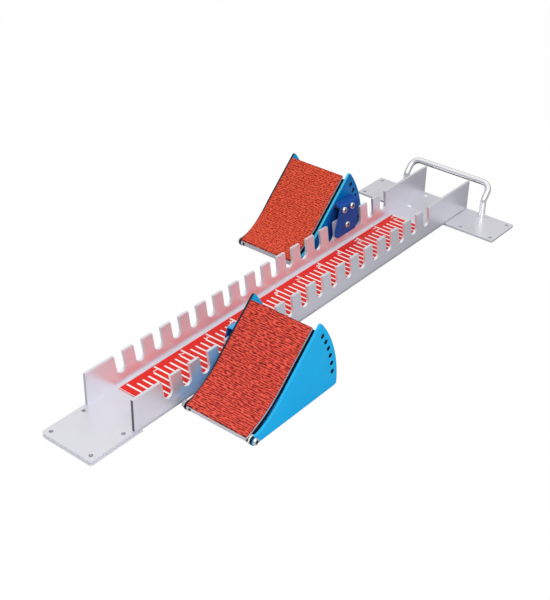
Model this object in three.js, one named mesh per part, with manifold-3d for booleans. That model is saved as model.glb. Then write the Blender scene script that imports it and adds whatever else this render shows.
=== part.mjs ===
// Adjustable starting blocks for sprint races: a slotted aluminium rail that is nailed to the
// track, and two pedals that hang in its slots, one on each side.
// X runs rearward along the rail, Y across it and Z up. The ground is at Z = 0.
import * as THREE from 'three';
import { mergeVertices } from 'three/addons/utils/BufferGeometryUtils.js';
import Module from 'manifold-3d';

const wasm = await Module();
wasm.setup();

// Driving dimensions, in millimetres. Angles are in degrees.
// Clearances and facets
const seatGap = 0.3;
const boreGap = 0.3;
const groundGap = 0.5;
const cutOverrun = 3;
const roundSides = 12;
const curveSegments = 7;
const hexagonSides = 6;

// Rail
const railWidth = 88;
const railWall = 4;
const railFloor = 4;
const wallRise = 48;
const slotCount = 18;
const slotPitch = 35;
const slotWidth = 16;
const slotDepth = 32;
const slotLean = 4;
const wallLead = 58;
const wallTailLength = 133;
const anchorLength = 74;
const anchorCorner = 4;

// Plates under the rail, and the nail holes
const groundPlate = 4;
const frontPlateLap = 14;
const crossPlateLength = 71;
const crossPlateWidth = 265;
const crossPlateProud = 3;
const crossPlateCorner = 3;
const nailHole = 6;
const nailInset = 8.5;
const nailToWall = 11;
const nailOutboard = 24;

// Rivets that hold the cross plate
const rivetDiameter = 4.8;
const rivetHead = 9;
const rivetHeadRise = 1.3;
const rivetCrown = 6;
const rivetInset = 9;
const rivetToWall = 8;

// Scale on the rail's floor
const scaleThickness = 0.8;
const scaleMargin = 5.5;
const scaleLead = 8;
const scaleTailLength = 25;

// Carrying handle
const handleDiameter = 10;
const handleOutset = 32;
const handleInset = 8;
const kneeHeight = 29;
const handleReach = 19;
const handleRise = 22;
const kneeBend = 5;
const cornerBend = 15;
const handleSteps = 48;
const handleScrewDiameter = 5;
const handleScrewHead = 9.4;
const handleScrewDepth = 14;
const countersink = 2;

// Pedal frame
const pivotHeight = 7;
const wallToPlate = 11;
const sidePlate = 4;
const padGap = 3;
const eyeRadius = 6.5;
const plateRadius = 168;
const apexAngle = 40.4;
const apexRadius = 4;
const heelRadius = 5;
const toeBendRadius = 29;
const toeBendAngle = 16;
const edgeBreakRadius = 78;
const edgeBreakAngle = 36.4;
const holeInset = 10;
const holeCount = 6;
const holeStep = 5.3;
const firstHole = 33.6;
const basePlate = 4;
const baseStart = 18;
const baseInset = 18;

// Pad
const padWidth = 99;
const padRubber = 4;
const padBacking = 2.5;
const padRib = 3;
const toeOverhang = 10;
const toeRise = 10.5;
const toeAngle = 17;
const padAngle = 43.5;
const toeCurveRadius = 155;
const padTopInset = 79.5;
const ribTopMargin = 4;
const ribToeAngle = 18.5;
const ribEyeRadius = 5.5;
const tongueLead = 8;
const tongueTailLength = 5.5;

// Pivot
const pivotDiameter = 6;
const pivotTube = 11;
const pivotWasher = 13;
const nutAcross = 10;
const nutHeight = 5;
const boltHead = 10.4;
const boltHeadRise = 3.2;
const boltShoulder = 8.8;
const boltShoulderRise = 1.9;
const boltCrown = 5.5;
const socketAcross = 4;
const socketDepth = 2;
const boltPastNut = 1;

// Support rod
const rodDiameter = 6;
const rodRecess = 1;
const rodChamfer = 0.8;

// Bracket over the rail's wall
const bracketSheet = 3;
const legToWall = 1;
const bracketDrop = 29;
const bracketLead = 14;
const bracketTailLength = 31;
const bracketFootLead = 25;
const bracketCorner = 9;
const bracketHeelCut = 10;
const bracketHeelRun = 5;
const bracketBend = 4;
const bracketTopCut = 8;
const bracketScrew = 5;
const upperScrewInset = 7.5;
const lowerScrewDrop = 12;
const upperScrewSpread = 10;
const upperScrewShift = 0.5;
const bracketSpacer = 8.4;
const keyRise = 1.2;

// Places of the pedals: the slot that each one hangs in, how far the slot's mouth lies ahead of the
// pedal's round rear edge, and how far the bracket rises above the wall
const nearSlot = 4;
const nearBracketInset = 53.5;
const nearBracketRise = 13.5;
const farSlot = 14;
const farBracketInset = 71;
const farBracketRise = 24;

// Sizes that follow from the driving dimensions
const floorBottom = groundPlate;
const floorTop = floorBottom + railFloor;
const wallTop = floorTop + wallRise;
const wallFront = -wallLead;
const railFront = wallFront - anchorLength;
const railRear = (slotCount - 1) * slotPitch + wallTailLength;
const plateRear = railRear + crossPlateProud;
const plateFront = plateRear - crossPlateLength;
const wallOutside = railWidth / 2;
const wallInside = wallOutside - railWall;
const legX = plateRear - handleInset;
const legY = wallOutside + handleOutset;
const kneeZ = groundPlate + kneeHeight;
const barX = legX + handleReach;
const barZ = kneeZ + handleRise;
const innerPlateFrom = wallOutside + wallToPlate;
const innerPlateTo = innerPlateFrom + sidePlate;
const padFrom = innerPlateTo + padGap;
const padTo = padFrom + padWidth;
const outerPlateFrom = padTo + padGap;
const outerPlateTo = outerPlateFrom + sidePlate;
const holeCircle = plateRadius - holeInset;
const baseEnd = plateRadius - baseInset;
const padStraight = plateRadius - padTopInset;
const nearSetback = plateRadius - nearBracketInset;
const farSetback = plateRadius - farBracketInset;
const slotReach = slotDepth - slotWidth / 2;
const slotLength = Math.hypot(slotLean, slotReach);
const slotAlong = { x: slotLean / slotLength, z: -slotReach / slotLength };
const legOuter = wallInside - legToWall;
const legInner = legOuter - bracketSheet;
const flangeOuter = innerPlateFrom - seatGap;
const flangeInner = flangeOuter - bracketSheet;
const lowerScrewZ = -lowerScrewDrop;
const lowerScrewX = (slotLean * lowerScrewDrop) / slotReach;
const upperScrewX = lowerScrewX + upperScrewShift;
const slotTopInPedal = wallTop - pivotHeight;
const plateBottom = groundGap - pivotHeight;

const radians = (degrees) => (degrees * Math.PI) / 180;
const polar = (radius, degrees) => ({
  x: radius * Math.cos(radians(degrees)),
  z: radius * Math.sin(radians(degrees)),
});

// Materials
const finish = (color, roughness, metalness) => (
  new THREE.MeshStandardMaterial({ color, roughness, metalness })
);
const metal = (colour, roughness) => finish(colour, roughness, 1);
const coated = (colour, roughness) => finish(colour, roughness, 0);
const aluminium = () => metal(0xd6d7df, 0.38);
const brightSteel = () => metal(0xe2e4e8, 0.25);
const blackSteel = () => metal(0x1d2126, 0.45);
const blueEnamel = () => coated(0x109bdf, 0.3);
const navyEnamel = () => coated(0x1a4a9a, 0.35);
const darkEnamel = () => coated(0x14242e, 0.45);
const redRubber = () => coated(0xc8402f, 0.85);
const scaleVinyl = () => coated(0xe03020, 0.5);
const nylon = () => coated(0xe8e6e0, 0.5);

// Joins a geometry's shared corners, drops triangles without area and turns its faces outward.
function weld(geometry) {
  const bare = geometry.clone();
  for (const name of Object.keys(bare.attributes)) {
    if (name !== 'position') bare.deleteAttribute(name);
  }
  const welded = mergeVertices(bare);
  const place = welded.getAttribute('position');
  const index = Array.from(welded.index.array);
  const corners = [new THREE.Vector3(), new THREE.Vector3(), new THREE.Vector3()];
  const kept = [];
  let volume = 0;
  for (let i = 0; i < index.length; i += 3) {
    const [a, b, c] = index.slice(i, i + 3);
    if (a === b || b === c || c === a) continue;
    [a, b, c].forEach((vertex, k) => corners[k].fromBufferAttribute(place, vertex));
    volume += corners[0].dot(corners[1].clone().cross(corners[2]));
    kept.push(a, b, c);
  }
  if (volume < 0) {
    for (let i = 0; i < kept.length; i += 3) [kept[i], kept[i + 1]] = [kept[i + 1], kept[i]];
  }
  welded.setIndex(kept);
  return welded;
}

function toManifold(geometry) {
  const welded = weld(geometry);
  return new wasm.Manifold(new wasm.Mesh({
    numProp: 3,
    vertProperties: new Float32Array(welded.getAttribute('position').array),
    triVerts: new Uint32Array(welded.index.array),
  }));
}

function toGeometry(manifold) {
  const mesh = manifold.getMesh();
  const geometry = new THREE.BufferGeometry();
  geometry.setAttribute('position', new THREE.BufferAttribute(new Float32Array(mesh.vertProperties), 3));
  geometry.setIndex(new THREE.BufferAttribute(new Uint32Array(mesh.triVerts), 1));
  return geometry;
}

const join = (bodies) => toGeometry(bodies.map(toManifold).reduce((sum, body) => sum.add(body)));
const cut = (body, cutters) => {
  const solid = toManifold(body);
  return toGeometry(cutters.map(toManifold).reduce((rest, cutter) => rest.subtract(cutter), solid));
};
const common = (a, b) => toGeometry(toManifold(a).intersect(toManifold(b)));

function piece(name, geometry, material) {
  const flat = weld(geometry).toNonIndexed();
  flat.computeVertexNormals();
  const mesh = new THREE.Mesh(flat, material);
  mesh.name = name;
  return mesh;
}

// A numbered piece for each of several like bodies.
function pieces(name, geometries, material) {
  return geometries.map((geometry, i) => piece(`${name}_${i + 1}`, geometry, material()));
}

// An outline in X and Z, extruded across the rail from one Y to another.
function across(shape, from, to) {
  const geometry = new THREE.ExtrudeGeometry(shape, { depth: to - from, bevelEnabled: false, curveSegments });
  return geometry.rotateX(Math.PI / 2).translate(0, to, 0);
}

// An outline in Y and Z, extruded along the rail from one X to another.
function along(shape, from, to) {
  const geometry = new THREE.ExtrudeGeometry(shape, { depth: to - from, bevelEnabled: false, curveSegments });
  const turn = new THREE.Matrix4().makeBasis(
    new THREE.Vector3(0, 1, 0),
    new THREE.Vector3(0, 0, 1),
    new THREE.Vector3(1, 0, 0),
  );
  return geometry.applyMatrix4(turn).translate(from, 0, 0);
}

// An outline in X and Y, extruded upward from one Z to another.
function upward(shape, from, to) {
  const geometry = new THREE.ExtrudeGeometry(shape, { depth: to - from, bevelEnabled: false, curveSegments });
  return geometry.translate(0, 0, from);
}

// A rectangle with round corners, given by two opposite corners.
function plateShape(x0, y0, x1, y1, radii) {
  const [a, b, c, d] = radii;
  const shape = new THREE.Shape();
  shape.moveTo(x0 + a, y0);
  shape.lineTo(x1 - b, y0);
  if (b > 0) shape.absarc(x1 - b, y0 + b, b, -Math.PI / 2, 0);
  shape.lineTo(x1, y1 - c);
  if (c > 0) shape.absarc(x1 - c, y1 - c, c, 0, Math.PI / 2);
  shape.lineTo(x0 + d, y1);
  if (d > 0) shape.absarc(x0 + d, y1 - d, d, Math.PI / 2, Math.PI);
  shape.lineTo(x0, y0 + a);
  if (a > 0) shape.absarc(x0 + a, y0 + a, a, Math.PI, Math.PI * 1.5);
  return shape;
}

function polygon(points) {
  const shape = new THREE.Shape();
  shape.moveTo(points[0][0], points[0][1]);
  points.slice(1).forEach(([x, y]) => shape.lineTo(x, y));
  return shape;
}

function roundHole(shape, x, y, diameter) {
  const hole = new THREE.Path();
  hole.absarc(x, y, diameter / 2, 0, Math.PI * 2, true);
  shape.holes.push(hole);
}

// A body of revolution about an upright axis through X, Y. The profile holds radius and height.
function upright(profile, x, y) {
  const points = profile.map(([radius, height]) => new THREE.Vector2(radius, height));
  return new THREE.LatheGeometry(points, roundSides).rotateX(Math.PI / 2).translate(x, y, 0);
}

// A body of revolution about an axis along Y through X, Z. The profile holds radius and Y.
function crosswise(profile, x, z) {
  const points = profile.map(([radius, y]) => new THREE.Vector2(radius, y));
  return new THREE.LatheGeometry(points, roundSides).translate(x, 0, z);
}

const pin = (diameter, from, to) => [[0, from], [diameter / 2, from], [diameter / 2, to], [0, to]];
const sleeve = (outside, bore, from, to) => [
  [bore / 2, from],
  [outside / 2, from],
  [outside / 2, to],
  [bore / 2, to],
  [bore / 2, from],
];

// A six-sided prism along Y, given by its size across the flats.
function hexagon(acrossFlats, from, to, x, z) {
  const radius = acrossFlats / 2 / Math.cos(Math.PI / hexagonSides);
  const prism = new THREE.CylinderGeometry(radius, radius, to - from, hexagonSides);
  return prism.translate(x, (from + to) / 2, z);
}

// Where the nails go through the front of the rail, and through the cross plate's wings.
function anchorNails() {
  const side = wallOutside - nailInset;
  return [railFront + nailInset, wallFront - nailToWall].flatMap((x) => [[x, side], [x, -side]]);
}

function wingNails() {
  const end = crossPlateWidth / 2 - nailInset;
  const inboard = wallOutside + nailOutboard;
  const front = plateFront + nailInset;
  const rear = plateRear - nailInset;
  return [[front, inboard], [front, end], [rear, end]].flatMap(([x, y]) => [[x, y], [x, -y]]);
}

function crossPlateRivets() {
  const side = wallInside - rivetToWall;
  return [plateFront + rivetInset, railRear - rivetInset].flatMap((x) => [[x, side], [x, -side]]);
}

// One slot of the rail, seen from the side, with its mouth's middle at X = 0 and Z = 0.
function slotShape(halfWidth, overTop) {
  const side = { x: -slotAlong.z * halfWidth, z: slotAlong.x * halfWidth };
  const top = { x: -slotAlong.x * overTop, z: -slotAlong.z * overTop };
  const bottom = { x: slotLean, z: -slotReach };
  const start = Math.atan2(-side.z, -side.x);
  const shape = new THREE.Shape();
  shape.moveTo(top.x + side.x, top.z + side.z);
  shape.lineTo(top.x - side.x, top.z - side.z);
  shape.absarc(bottom.x, bottom.z, halfWidth, start, start + Math.PI);
  return shape;
}

function railChannel() {
  const profile = polygon([
    [-wallOutside, floorBottom],
    [wallOutside, floorBottom],
    [wallOutside, wallTop],
    [wallInside, wallTop],
    [wallInside, floorTop],
    [-wallInside, floorTop],
    [-wallInside, wallTop],
    [-wallOutside, wallTop],
  ]);
  const corners = [anchorCorner, 0, 0, anchorCorner];
  const anchor = plateShape(railFront, -wallOutside, wallFront + railWall, wallOutside, corners);
  anchorNails().forEach(([x, y]) => roundHole(anchor, x, y, nailHole));
  const slots = Array.from({ length: slotCount }, (_, i) => (
    across(slotShape(slotWidth / 2, cutOverrun), -wallOutside - cutOverrun, wallOutside + cutOverrun)
      .translate(i * slotPitch, 0, wallTop)
  ));
  const rivetHoles = crossPlateRivets().map(([x, y]) => (
    upright(pin(rivetDiameter + 2 * boreGap, floorBottom - cutOverrun, floorTop + cutOverrun), x, y)
  ));
  const body = join([along(profile, wallFront, railRear), upward(anchor, floorBottom, floorTop)]);
  return piece('rail_channel', cut(body, [...slots, ...rivetHoles]), aluminium());
}

// A plate as thick as the cross plate, under the front of the rail, so that the rail lies level.
function frontPlate() {
  const corners = [anchorCorner, 0, 0, anchorCorner];
  const shape = plateShape(railFront, -wallOutside, wallFront + frontPlateLap, wallOutside, corners);
  anchorNails().forEach(([x, y]) => roundHole(shape, x, y, nailHole));
  return piece('front_foot_plate', upward(shape, 0, floorBottom - seatGap), aluminium());
}

// What a countersunk fastener from below takes out of the cross plate.
function countersunkSeat(head, shank, x, y) {
  return upright([
    [0, -cutOverrun],
    [head / 2 + boreGap, -cutOverrun],
    [head / 2 + boreGap, 0],
    [shank / 2 + boreGap, countersink],
    [shank / 2 + boreGap, groundPlate + cutOverrun],
    [0, groundPlate + cutOverrun],
  ], x, y);
}

function crossPlate() {
  const edge = crossPlateWidth / 2;
  const corners = [crossPlateCorner, crossPlateCorner, crossPlateCorner, crossPlateCorner];
  const shape = plateShape(plateFront, -edge, plateRear, edge, corners);
  wingNails().forEach(([x, y]) => roundHole(shape, x, y, nailHole));
  const top = floorBottom - seatGap;
  const rivetSeats = crossPlateRivets().map(([x, y]) => (
    countersunkSeat(rivetHead, rivetDiameter, x, y)
  ));
  const screwSeats = [legY, -legY].map((y) => (
    countersunkSeat(handleScrewHead, handleScrewDiameter, legX, y)
  ));
  return piece('rear_cross_plate', cut(upward(shape, 0, top), [...rivetSeats, ...screwSeats]), aluminium());
}

function crossPlateFasteners() {
  const head = floorTop + seatGap;
  const rivets = crossPlateRivets().map(([x, y]) => upright([
    [0, 0],
    [rivetHead / 2, 0],
    [rivetDiameter / 2, countersink],
    [rivetDiameter / 2, head],
    [rivetHead / 2, head],
    [rivetCrown / 2, head + rivetHeadRise],
    [0, head + rivetHeadRise],
  ], x, y));
  return pieces('cross_plate_rivet', rivets, brightSteel);
}

function scaleStrip() {
  const half = wallInside - scaleMargin;
  const from = -scaleLead;
  const to = (slotCount - 1) * slotPitch + scaleTailLength;
  const bottom = floorTop + seatGap;
  const shape = polygon([[from, -half], [to, -half], [to, half], [from, half]]);
  return piece('scale_strip', upward(shape, bottom, bottom + scaleThickness), scaleVinyl());
}

// The straight run up to a bend, and the bend, of a bent bar.
function bend(path, from, corner, to, reach) {
  const enter = corner.clone().add(from.clone().sub(corner).setLength(reach));
  const leave = corner.clone().add(to.clone().sub(corner).setLength(reach));
  path.add(new THREE.LineCurve3(from, enter));
  path.add(new THREE.QuadraticBezierCurve3(enter, corner, leave));
  return leave;
}

function carryingHandle() {
  const foot = floorBottom;
  const corners = [
    new THREE.Vector3(legX, legY, foot),
    new THREE.Vector3(legX, legY, kneeZ),
    new THREE.Vector3(barX, legY, barZ),
    new THREE.Vector3(barX, -legY, barZ),
    new THREE.Vector3(legX, -legY, kneeZ),
    new THREE.Vector3(legX, -legY, foot),
  ];
  const path = new THREE.CurvePath();
  let from = corners[0];
  [kneeBend, cornerBend, cornerBend, kneeBend].forEach((reach, i) => {
    from = bend(path, from, corners[i + 1], corners[i + 2], reach);
  });
  path.add(new THREE.LineCurve3(from, corners[corners.length - 1]));
  const section = new THREE.Shape();
  section.absarc(0, 0, handleDiameter / 2, 0, Math.PI * 2);
  const bar = new THREE.ExtrudeGeometry(section, { steps: handleSteps, extrudePath: path, curveSegments });
  const depth = handleScrewDepth + seatGap;
  const drill = pin(handleScrewDiameter + 2 * boreGap, foot - cutOverrun, foot + depth);
  const bores = [legY, -legY].map((y) => upright(drill, legX, y));
  return piece('carrying_handle', cut(bar, bores), aluminium());
}

function handleScrews() {
  const screws = [legY, -legY].map((y) => upright([
    [0, 0],
    [handleScrewHead / 2, 0],
    [handleScrewDiameter / 2, countersink],
    [handleScrewDiameter / 2, floorBottom + handleScrewDepth],
    [0, floorBottom + handleScrewDepth],
  ], legX, y));
  return pieces('handle_screw', screws, brightSteel);
}

// The pad's face is an arc at the toe and a straight above it. Depth is measured behind that face.
const toe = { x: -toeOverhang, z: toeRise };
const arcCentre = {
  x: toe.x - toeCurveRadius * Math.sin(radians(toeAngle)),
  z: toe.z + toeCurveRadius * Math.cos(radians(toeAngle)),
};

function onArc(depth, degrees) {
  const radius = toeCurveRadius + depth;
  return {
    x: arcCentre.x + radius * Math.sin(radians(degrees)),
    z: arcCentre.z - radius * Math.cos(radians(degrees)),
  };
}

function onStraight(depth, distance) {
  const start = onArc(depth, padAngle);
  return {
    x: start.x + distance * Math.cos(radians(padAngle)),
    z: start.z + distance * Math.sin(radians(padAngle)),
  };
}

const arcTurn = (degrees) => radians(degrees) - Math.PI / 2;

function padLayer(from, to) {
  const shape = new THREE.Shape();
  shape.absarc(arcCentre.x, arcCentre.z, toeCurveRadius + from, arcTurn(toeAngle), arcTurn(padAngle));
  const top = onStraight(from, padStraight);
  shape.lineTo(top.x, top.z);
  const back = onStraight(to, padStraight);
  shape.lineTo(back.x, back.z);
  const turn = onArc(to, padAngle);
  shape.lineTo(turn.x, turn.z);
  shape.absarc(arcCentre.x, arcCentre.z, toeCurveRadius + to, arcTurn(padAngle), arcTurn(toeAngle), true);
  return shape;
}

const backingFrom = padRubber + seatGap;
const backingTo = backingFrom + padBacking;
const ribFrom = backingTo + seatGap;

function rubberPad() {
  return across(padLayer(0, padRubber), padFrom, padTo);
}

function padBackingPlate() {
  return across(padLayer(backingFrom, backingTo), padFrom, padTo);
}

// A rib under one edge of the pad. Its eye turns on the pivot, and the half-round notch in its
// tongue sits on the support rod.
function padRibBody(from) {
  const notchRadius = rodDiameter / 2 + boreGap;
  const rod = polar(holeCircle, firstHole);
  const corner = onStraight(ribFrom, padStraight - ribTopMargin);
  const tail = polar(holeCircle + tongueTailLength, firstHole);
  const lead = polar(holeCircle - tongueLead, firstHole);
  const lowerAngle = Math.atan2(lead.z, lead.x) - Math.asin(ribEyeRadius / Math.hypot(lead.x, lead.z));
  const shape = new THREE.Shape();
  shape.absarc(arcCentre.x, arcCentre.z, toeCurveRadius + ribFrom, arcTurn(ribToeAngle), arcTurn(padAngle));
  shape.lineTo(corner.x, corner.z);
  shape.lineTo(tail.x, tail.z);
  shape.absarc(rod.x, rod.z, notchRadius, radians(firstHole), radians(firstHole) + Math.PI);
  shape.lineTo(lead.x, lead.z);
  shape.absarc(0, 0, ribEyeRadius, lowerAngle - Math.PI / 2, -Math.PI, true);
  const drill = pin(pivotDiameter + 2 * boreGap, from - cutOverrun, from + padRib + cutOverrun);
  return cut(across(shape, from, from + padRib), [crosswise(drill, 0, 0)]);
}

// A side plate of the pedal: a sector about the pivot, with a row of holes near its round edge.
function sidePlateShape(extraHoles) {
  const heelAngle = (Math.asin(plateBottom / plateRadius) * 180) / Math.PI;
  const heel = polar(plateRadius, heelAngle);
  const heelTurn = polar(plateRadius, heelAngle + (heelRadius / plateRadius) * (180 / Math.PI));
  const apexTurn = apexAngle - (apexRadius / plateRadius) * (180 / Math.PI);
  const apex = polar(plateRadius, apexAngle);
  const edgeBreak = polar(edgeBreakRadius, edgeBreakAngle);
  const toeBend = polar(toeBendRadius, toeBendAngle);
  const share = apexRadius / Math.hypot(apex.x - edgeBreak.x, apex.z - edgeBreak.z);
  const pastApex = {
    x: apex.x + (edgeBreak.x - apex.x) * share,
    z: apex.z + (edgeBreak.z - apex.z) * share,
  };
  const shape = new THREE.Shape();
  shape.moveTo(0, plateBottom);
  shape.lineTo(heel.x - heelRadius, plateBottom);
  shape.quadraticCurveTo(heel.x, heel.z, heelTurn.x, heelTurn.z);
  shape.absarc(0, 0, plateRadius, Math.atan2(heelTurn.z, heelTurn.x), radians(apexTurn));
  shape.quadraticCurveTo(apex.x, apex.z, pastApex.x, pastApex.z);
  shape.lineTo(edgeBreak.x, edgeBreak.z);
  shape.quadraticCurveTo(toeBend.x, toeBend.z, 0, eyeRadius);
  shape.absarc(0, 0, eyeRadius, Math.PI / 2, Math.PI * 1.5);
  for (let i = 0; i < holeCount; i += 1) {
    const hole = polar(holeCircle, firstHole - i * holeStep);
    roundHole(shape, hole.x, hole.z, rodDiameter + 2 * boreGap);
  }
  roundHole(shape, 0, 0, pivotDiameter + 2 * boreGap);
  extraHoles.forEach(([x, z]) => roundHole(shape, x, z, bracketScrew + 2 * boreGap));
  return shape;
}

// Where the bracket's three screws lie, from the middle of the slot's mouth.
function bracketScrews(rise) {
  const upperScrewZ = rise - upperScrewInset;
  return [
    [upperScrewX - upperScrewSpread, upperScrewZ],
    [upperScrewX + upperScrewSpread, upperScrewZ],
    [lowerScrewX, lowerScrewZ],
  ];
}

// A folded sheet that straddles the rail's wall: one leg inside the rail, one beside the pedal.
function slotBracket(rise) {
  const section = new THREE.Shape();
  const inner = bracketBend - bracketSheet;
  section.moveTo(legInner, -bracketDrop);
  section.lineTo(legOuter, -bracketDrop);
  section.lineTo(legOuter, rise - bracketSheet - inner);
  section.absarc(legOuter + inner, rise - bracketSheet - inner, inner, Math.PI, Math.PI / 2, true);
  section.lineTo(flangeInner - inner, rise - bracketSheet);
  section.absarc(flangeInner - inner, rise - bracketSheet - inner, inner, Math.PI / 2, 0, true);
  section.lineTo(flangeInner, -bracketDrop);
  section.lineTo(flangeOuter, -bracketDrop);
  section.lineTo(flangeOuter, rise - bracketBend);
  section.absarc(flangeOuter - bracketBend, rise - bracketBend, bracketBend, 0, Math.PI / 2);
  section.lineTo(legInner + bracketBend, rise);
  section.absarc(legInner + bracketBend, rise - bracketBend, bracketBend, Math.PI / 2, Math.PI);
  const fold = along(section, -bracketFootLead - cutOverrun, bracketTailLength + cutOverrun);
  const side = new THREE.Shape();
  side.moveTo(bracketTailLength, -bracketDrop + bracketHeelCut);
  side.lineTo(bracketTailLength, rise + cutOverrun);
  side.lineTo(-bracketLead, rise + cutOverrun);
  side.lineTo(-bracketLead, rise);
  side.lineTo(-bracketFootLead, -bracketDrop + bracketCorner);
  side.quadraticCurveTo(-bracketFootLead, -bracketDrop, -bracketFootLead + bracketCorner, -bracketDrop);
  side.lineTo(bracketTailLength - bracketHeelRun, -bracketDrop);
  bracketScrews(rise).forEach(([x, z]) => roundHole(side, x, z, bracketScrew + 2 * boreGap));
  const blank = common(fold, across(side, legInner - cutOverrun, flangeOuter + cutOverrun));
  const middle = (legOuter + flangeInner) / 2;
  const corner = polygon([
    [-bracketLead - cutOverrun, rise - bracketTopCut - cutOverrun],
    [-bracketLead + bracketTopCut + cutOverrun, rise + cutOverrun],
    [-bracketLead - cutOverrun, rise + cutOverrun],
  ]);
  return cut(blank, [across(corner, middle, flangeOuter + cutOverrun)]);
}

// The block that fills the slot and carries the pedal on the slot's round bottom.
function slotKey() {
  const section = slotShape(slotWidth / 2 - seatGap, keyRise);
  const block = across(section, legOuter + seatGap, flangeInner - seatGap);
  const drill = pin(bracketScrew + 2 * boreGap, legInner, flangeOuter);
  return cut(block, [crosswise(drill, lowerScrewX, lowerScrewZ)]);
}

function bracketSpacers(rise) {
  const bore = bracketScrew + 2 * boreGap;
  const profile = sleeve(bracketSpacer, bore, legOuter + seatGap, flangeInner - seatGap);
  return bracketScrews(rise).slice(0, 2).map(([x, z]) => crosswise(profile, x, z));
}

// A button-head socket screw along Y. The head's seat is at the first place, its tip at the second.
function buttonScrew(diameter, seat, tip, x, z) {
  const way = Math.sign(tip - seat);
  const crown = seat - way * boltHeadRise;
  const body = crosswise([
    [0, tip],
    [diameter / 2, tip],
    [diameter / 2, seat],
    [boltHead / 2, seat],
    [boltShoulder / 2, seat - way * boltShoulderRise],
    [boltCrown / 2, crown],
    [0, crown],
  ], x, z);
  const ends = [crown - way * cutOverrun, crown + way * socketDepth].sort((a, b) => a - b);
  return cut(body, [hexagon(socketAcross, ends[0], ends[1], x, z)]);
}

function bracketScrewSet(rise) {
  const seat = legInner - seatGap;
  return bracketScrews(rise).map(([x, z]) => buttonScrew(bracketScrew, seat, innerPlateTo, x, z));
}

function pivotBolt() {
  const tip = innerPlateFrom - seatGap - nutHeight - boltPastNut;
  return buttonScrew(pivotDiameter, outerPlateTo + seatGap, tip, 0, 0);
}

function pivotNut() {
  const to = innerPlateFrom - seatGap;
  const drill = pin(pivotDiameter + 2 * boreGap, to - nutHeight - cutOverrun, to + cutOverrun);
  return cut(hexagon(nutAcross, to - nutHeight, to, 0, 0), [crosswise(drill, 0, 0)]);
}

function pivotWashers() {
  const bore = pivotDiameter + 2 * boreGap;
  return [
    crosswise(sleeve(pivotWasher, bore, innerPlateTo + seatGap, padFrom - seatGap), 0, 0),
    crosswise(sleeve(pivotWasher, bore, padTo + seatGap, outerPlateFrom - seatGap), 0, 0),
  ];
}

function padTube() {
  const bore = pivotDiameter + 2 * boreGap;
  const inset = padRib + seatGap;
  return crosswise(sleeve(pivotTube, bore, padFrom + inset, padTo - inset), 0, 0);
}

function supportRod() {
  const rod = polar(holeCircle, firstHole);
  const radius = rodDiameter / 2;
  const from = innerPlateFrom + rodRecess;
  const to = outerPlateTo - rodRecess;
  return crosswise([
    [0, from],
    [radius - rodChamfer, from],
    [radius, from + rodChamfer],
    [radius, to - rodChamfer],
    [radius - rodChamfer, to],
    [0, to],
  ], rod.x, rod.z);
}

function pedalBase() {
  const from = innerPlateTo + seatGap;
  const to = outerPlateFrom - seatGap;
  const shape = polygon([[baseStart, from], [baseEnd, from], [baseEnd, to], [baseStart, to]]);
  return upward(shape, plateBottom, plateBottom + basePlate);
}

// One pedal about its pivot. Side is 1 for the far side of the rail and -1 for the near side.
function pedal(name, side, slot, setback, rise) {
  const group = new THREE.Group();
  group.position.set(slot * slotPitch - setback, 0, pivotHeight);
  const add = (label, geometry, material) => {
    group.add(piece(`${name}_${label}`, geometry.clone().scale(1, side, 1), material));
  };
  const addEach = (label, geometries, material) => {
    geometries.forEach((geometry, i) => add(`${label}_${i + 1}`, geometry, material()));
  };
  const onBracket = (geometry) => geometry.clone().translate(setback, 0, slotTopInPedal);
  const screwPlaces = bracketScrews(rise).map(([x, z]) => [x + setback, z + slotTopInPedal]);
  add('inner_side_plate', across(sidePlateShape(screwPlaces), innerPlateFrom, innerPlateTo), blueEnamel());
  add('outer_side_plate', across(sidePlateShape([]), outerPlateFrom, outerPlateTo), blueEnamel());
  add('base_plate', pedalBase(), blueEnamel());
  add('slot_bracket', onBracket(slotBracket(rise)), navyEnamel());
  add('slot_key', onBracket(slotKey()), blackSteel());
  addEach('bracket_spacer', bracketSpacers(rise).map(onBracket), blackSteel);
  addEach('bracket_screw', bracketScrewSet(rise).map(onBracket), brightSteel);
  add('pivot_bolt', pivotBolt(), brightSteel());
  add('pivot_nut', pivotNut(), brightSteel());
  addEach('pivot_washer', pivotWashers(), nylon);
  add('pad_pivot_tube', padTube(), aluminium());
  add('pad_inner_rib', padRibBody(padFrom), darkEnamel());
  add('pad_outer_rib', padRibBody(padTo - padRib), darkEnamel());
  add('pad_backing', padBackingPlate(), aluminium());
  add('rubber_pad', rubberPad(), redRubber());
  add('support_rod', supportRod(), blackSteel());
  return group;
}

const startingBlocks = new THREE.Group();
startingBlocks.name = 'starting_blocks';
startingBlocks.add(
  railChannel(),
  frontPlate(),
  crossPlate(),
  ...crossPlateFasteners(),
  scaleStrip(),
  carryingHandle(),
  ...handleScrews(),
  pedal('near', -1, nearSlot, nearSetback, nearBracketRise),
  pedal('far', 1, farSlot, farSetback, farBracketRise),
);
startingBlocks.position.x = -(railFront + barX + handleDiameter / 2) / 2;

export default startingBlocks;
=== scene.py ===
"""Dresses a set of athletics starting blocks: rail, scale, handle and two tilting pedals.

Lengths are in metres and angles in degrees. A share is a part of 1.
"""

import logging
import math
from collections.abc import Callable, Iterable, Sequence
from dataclasses import dataclass, field
from enum import Enum

import bmesh
import bpy
from mathutils import Matrix, Vector


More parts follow.
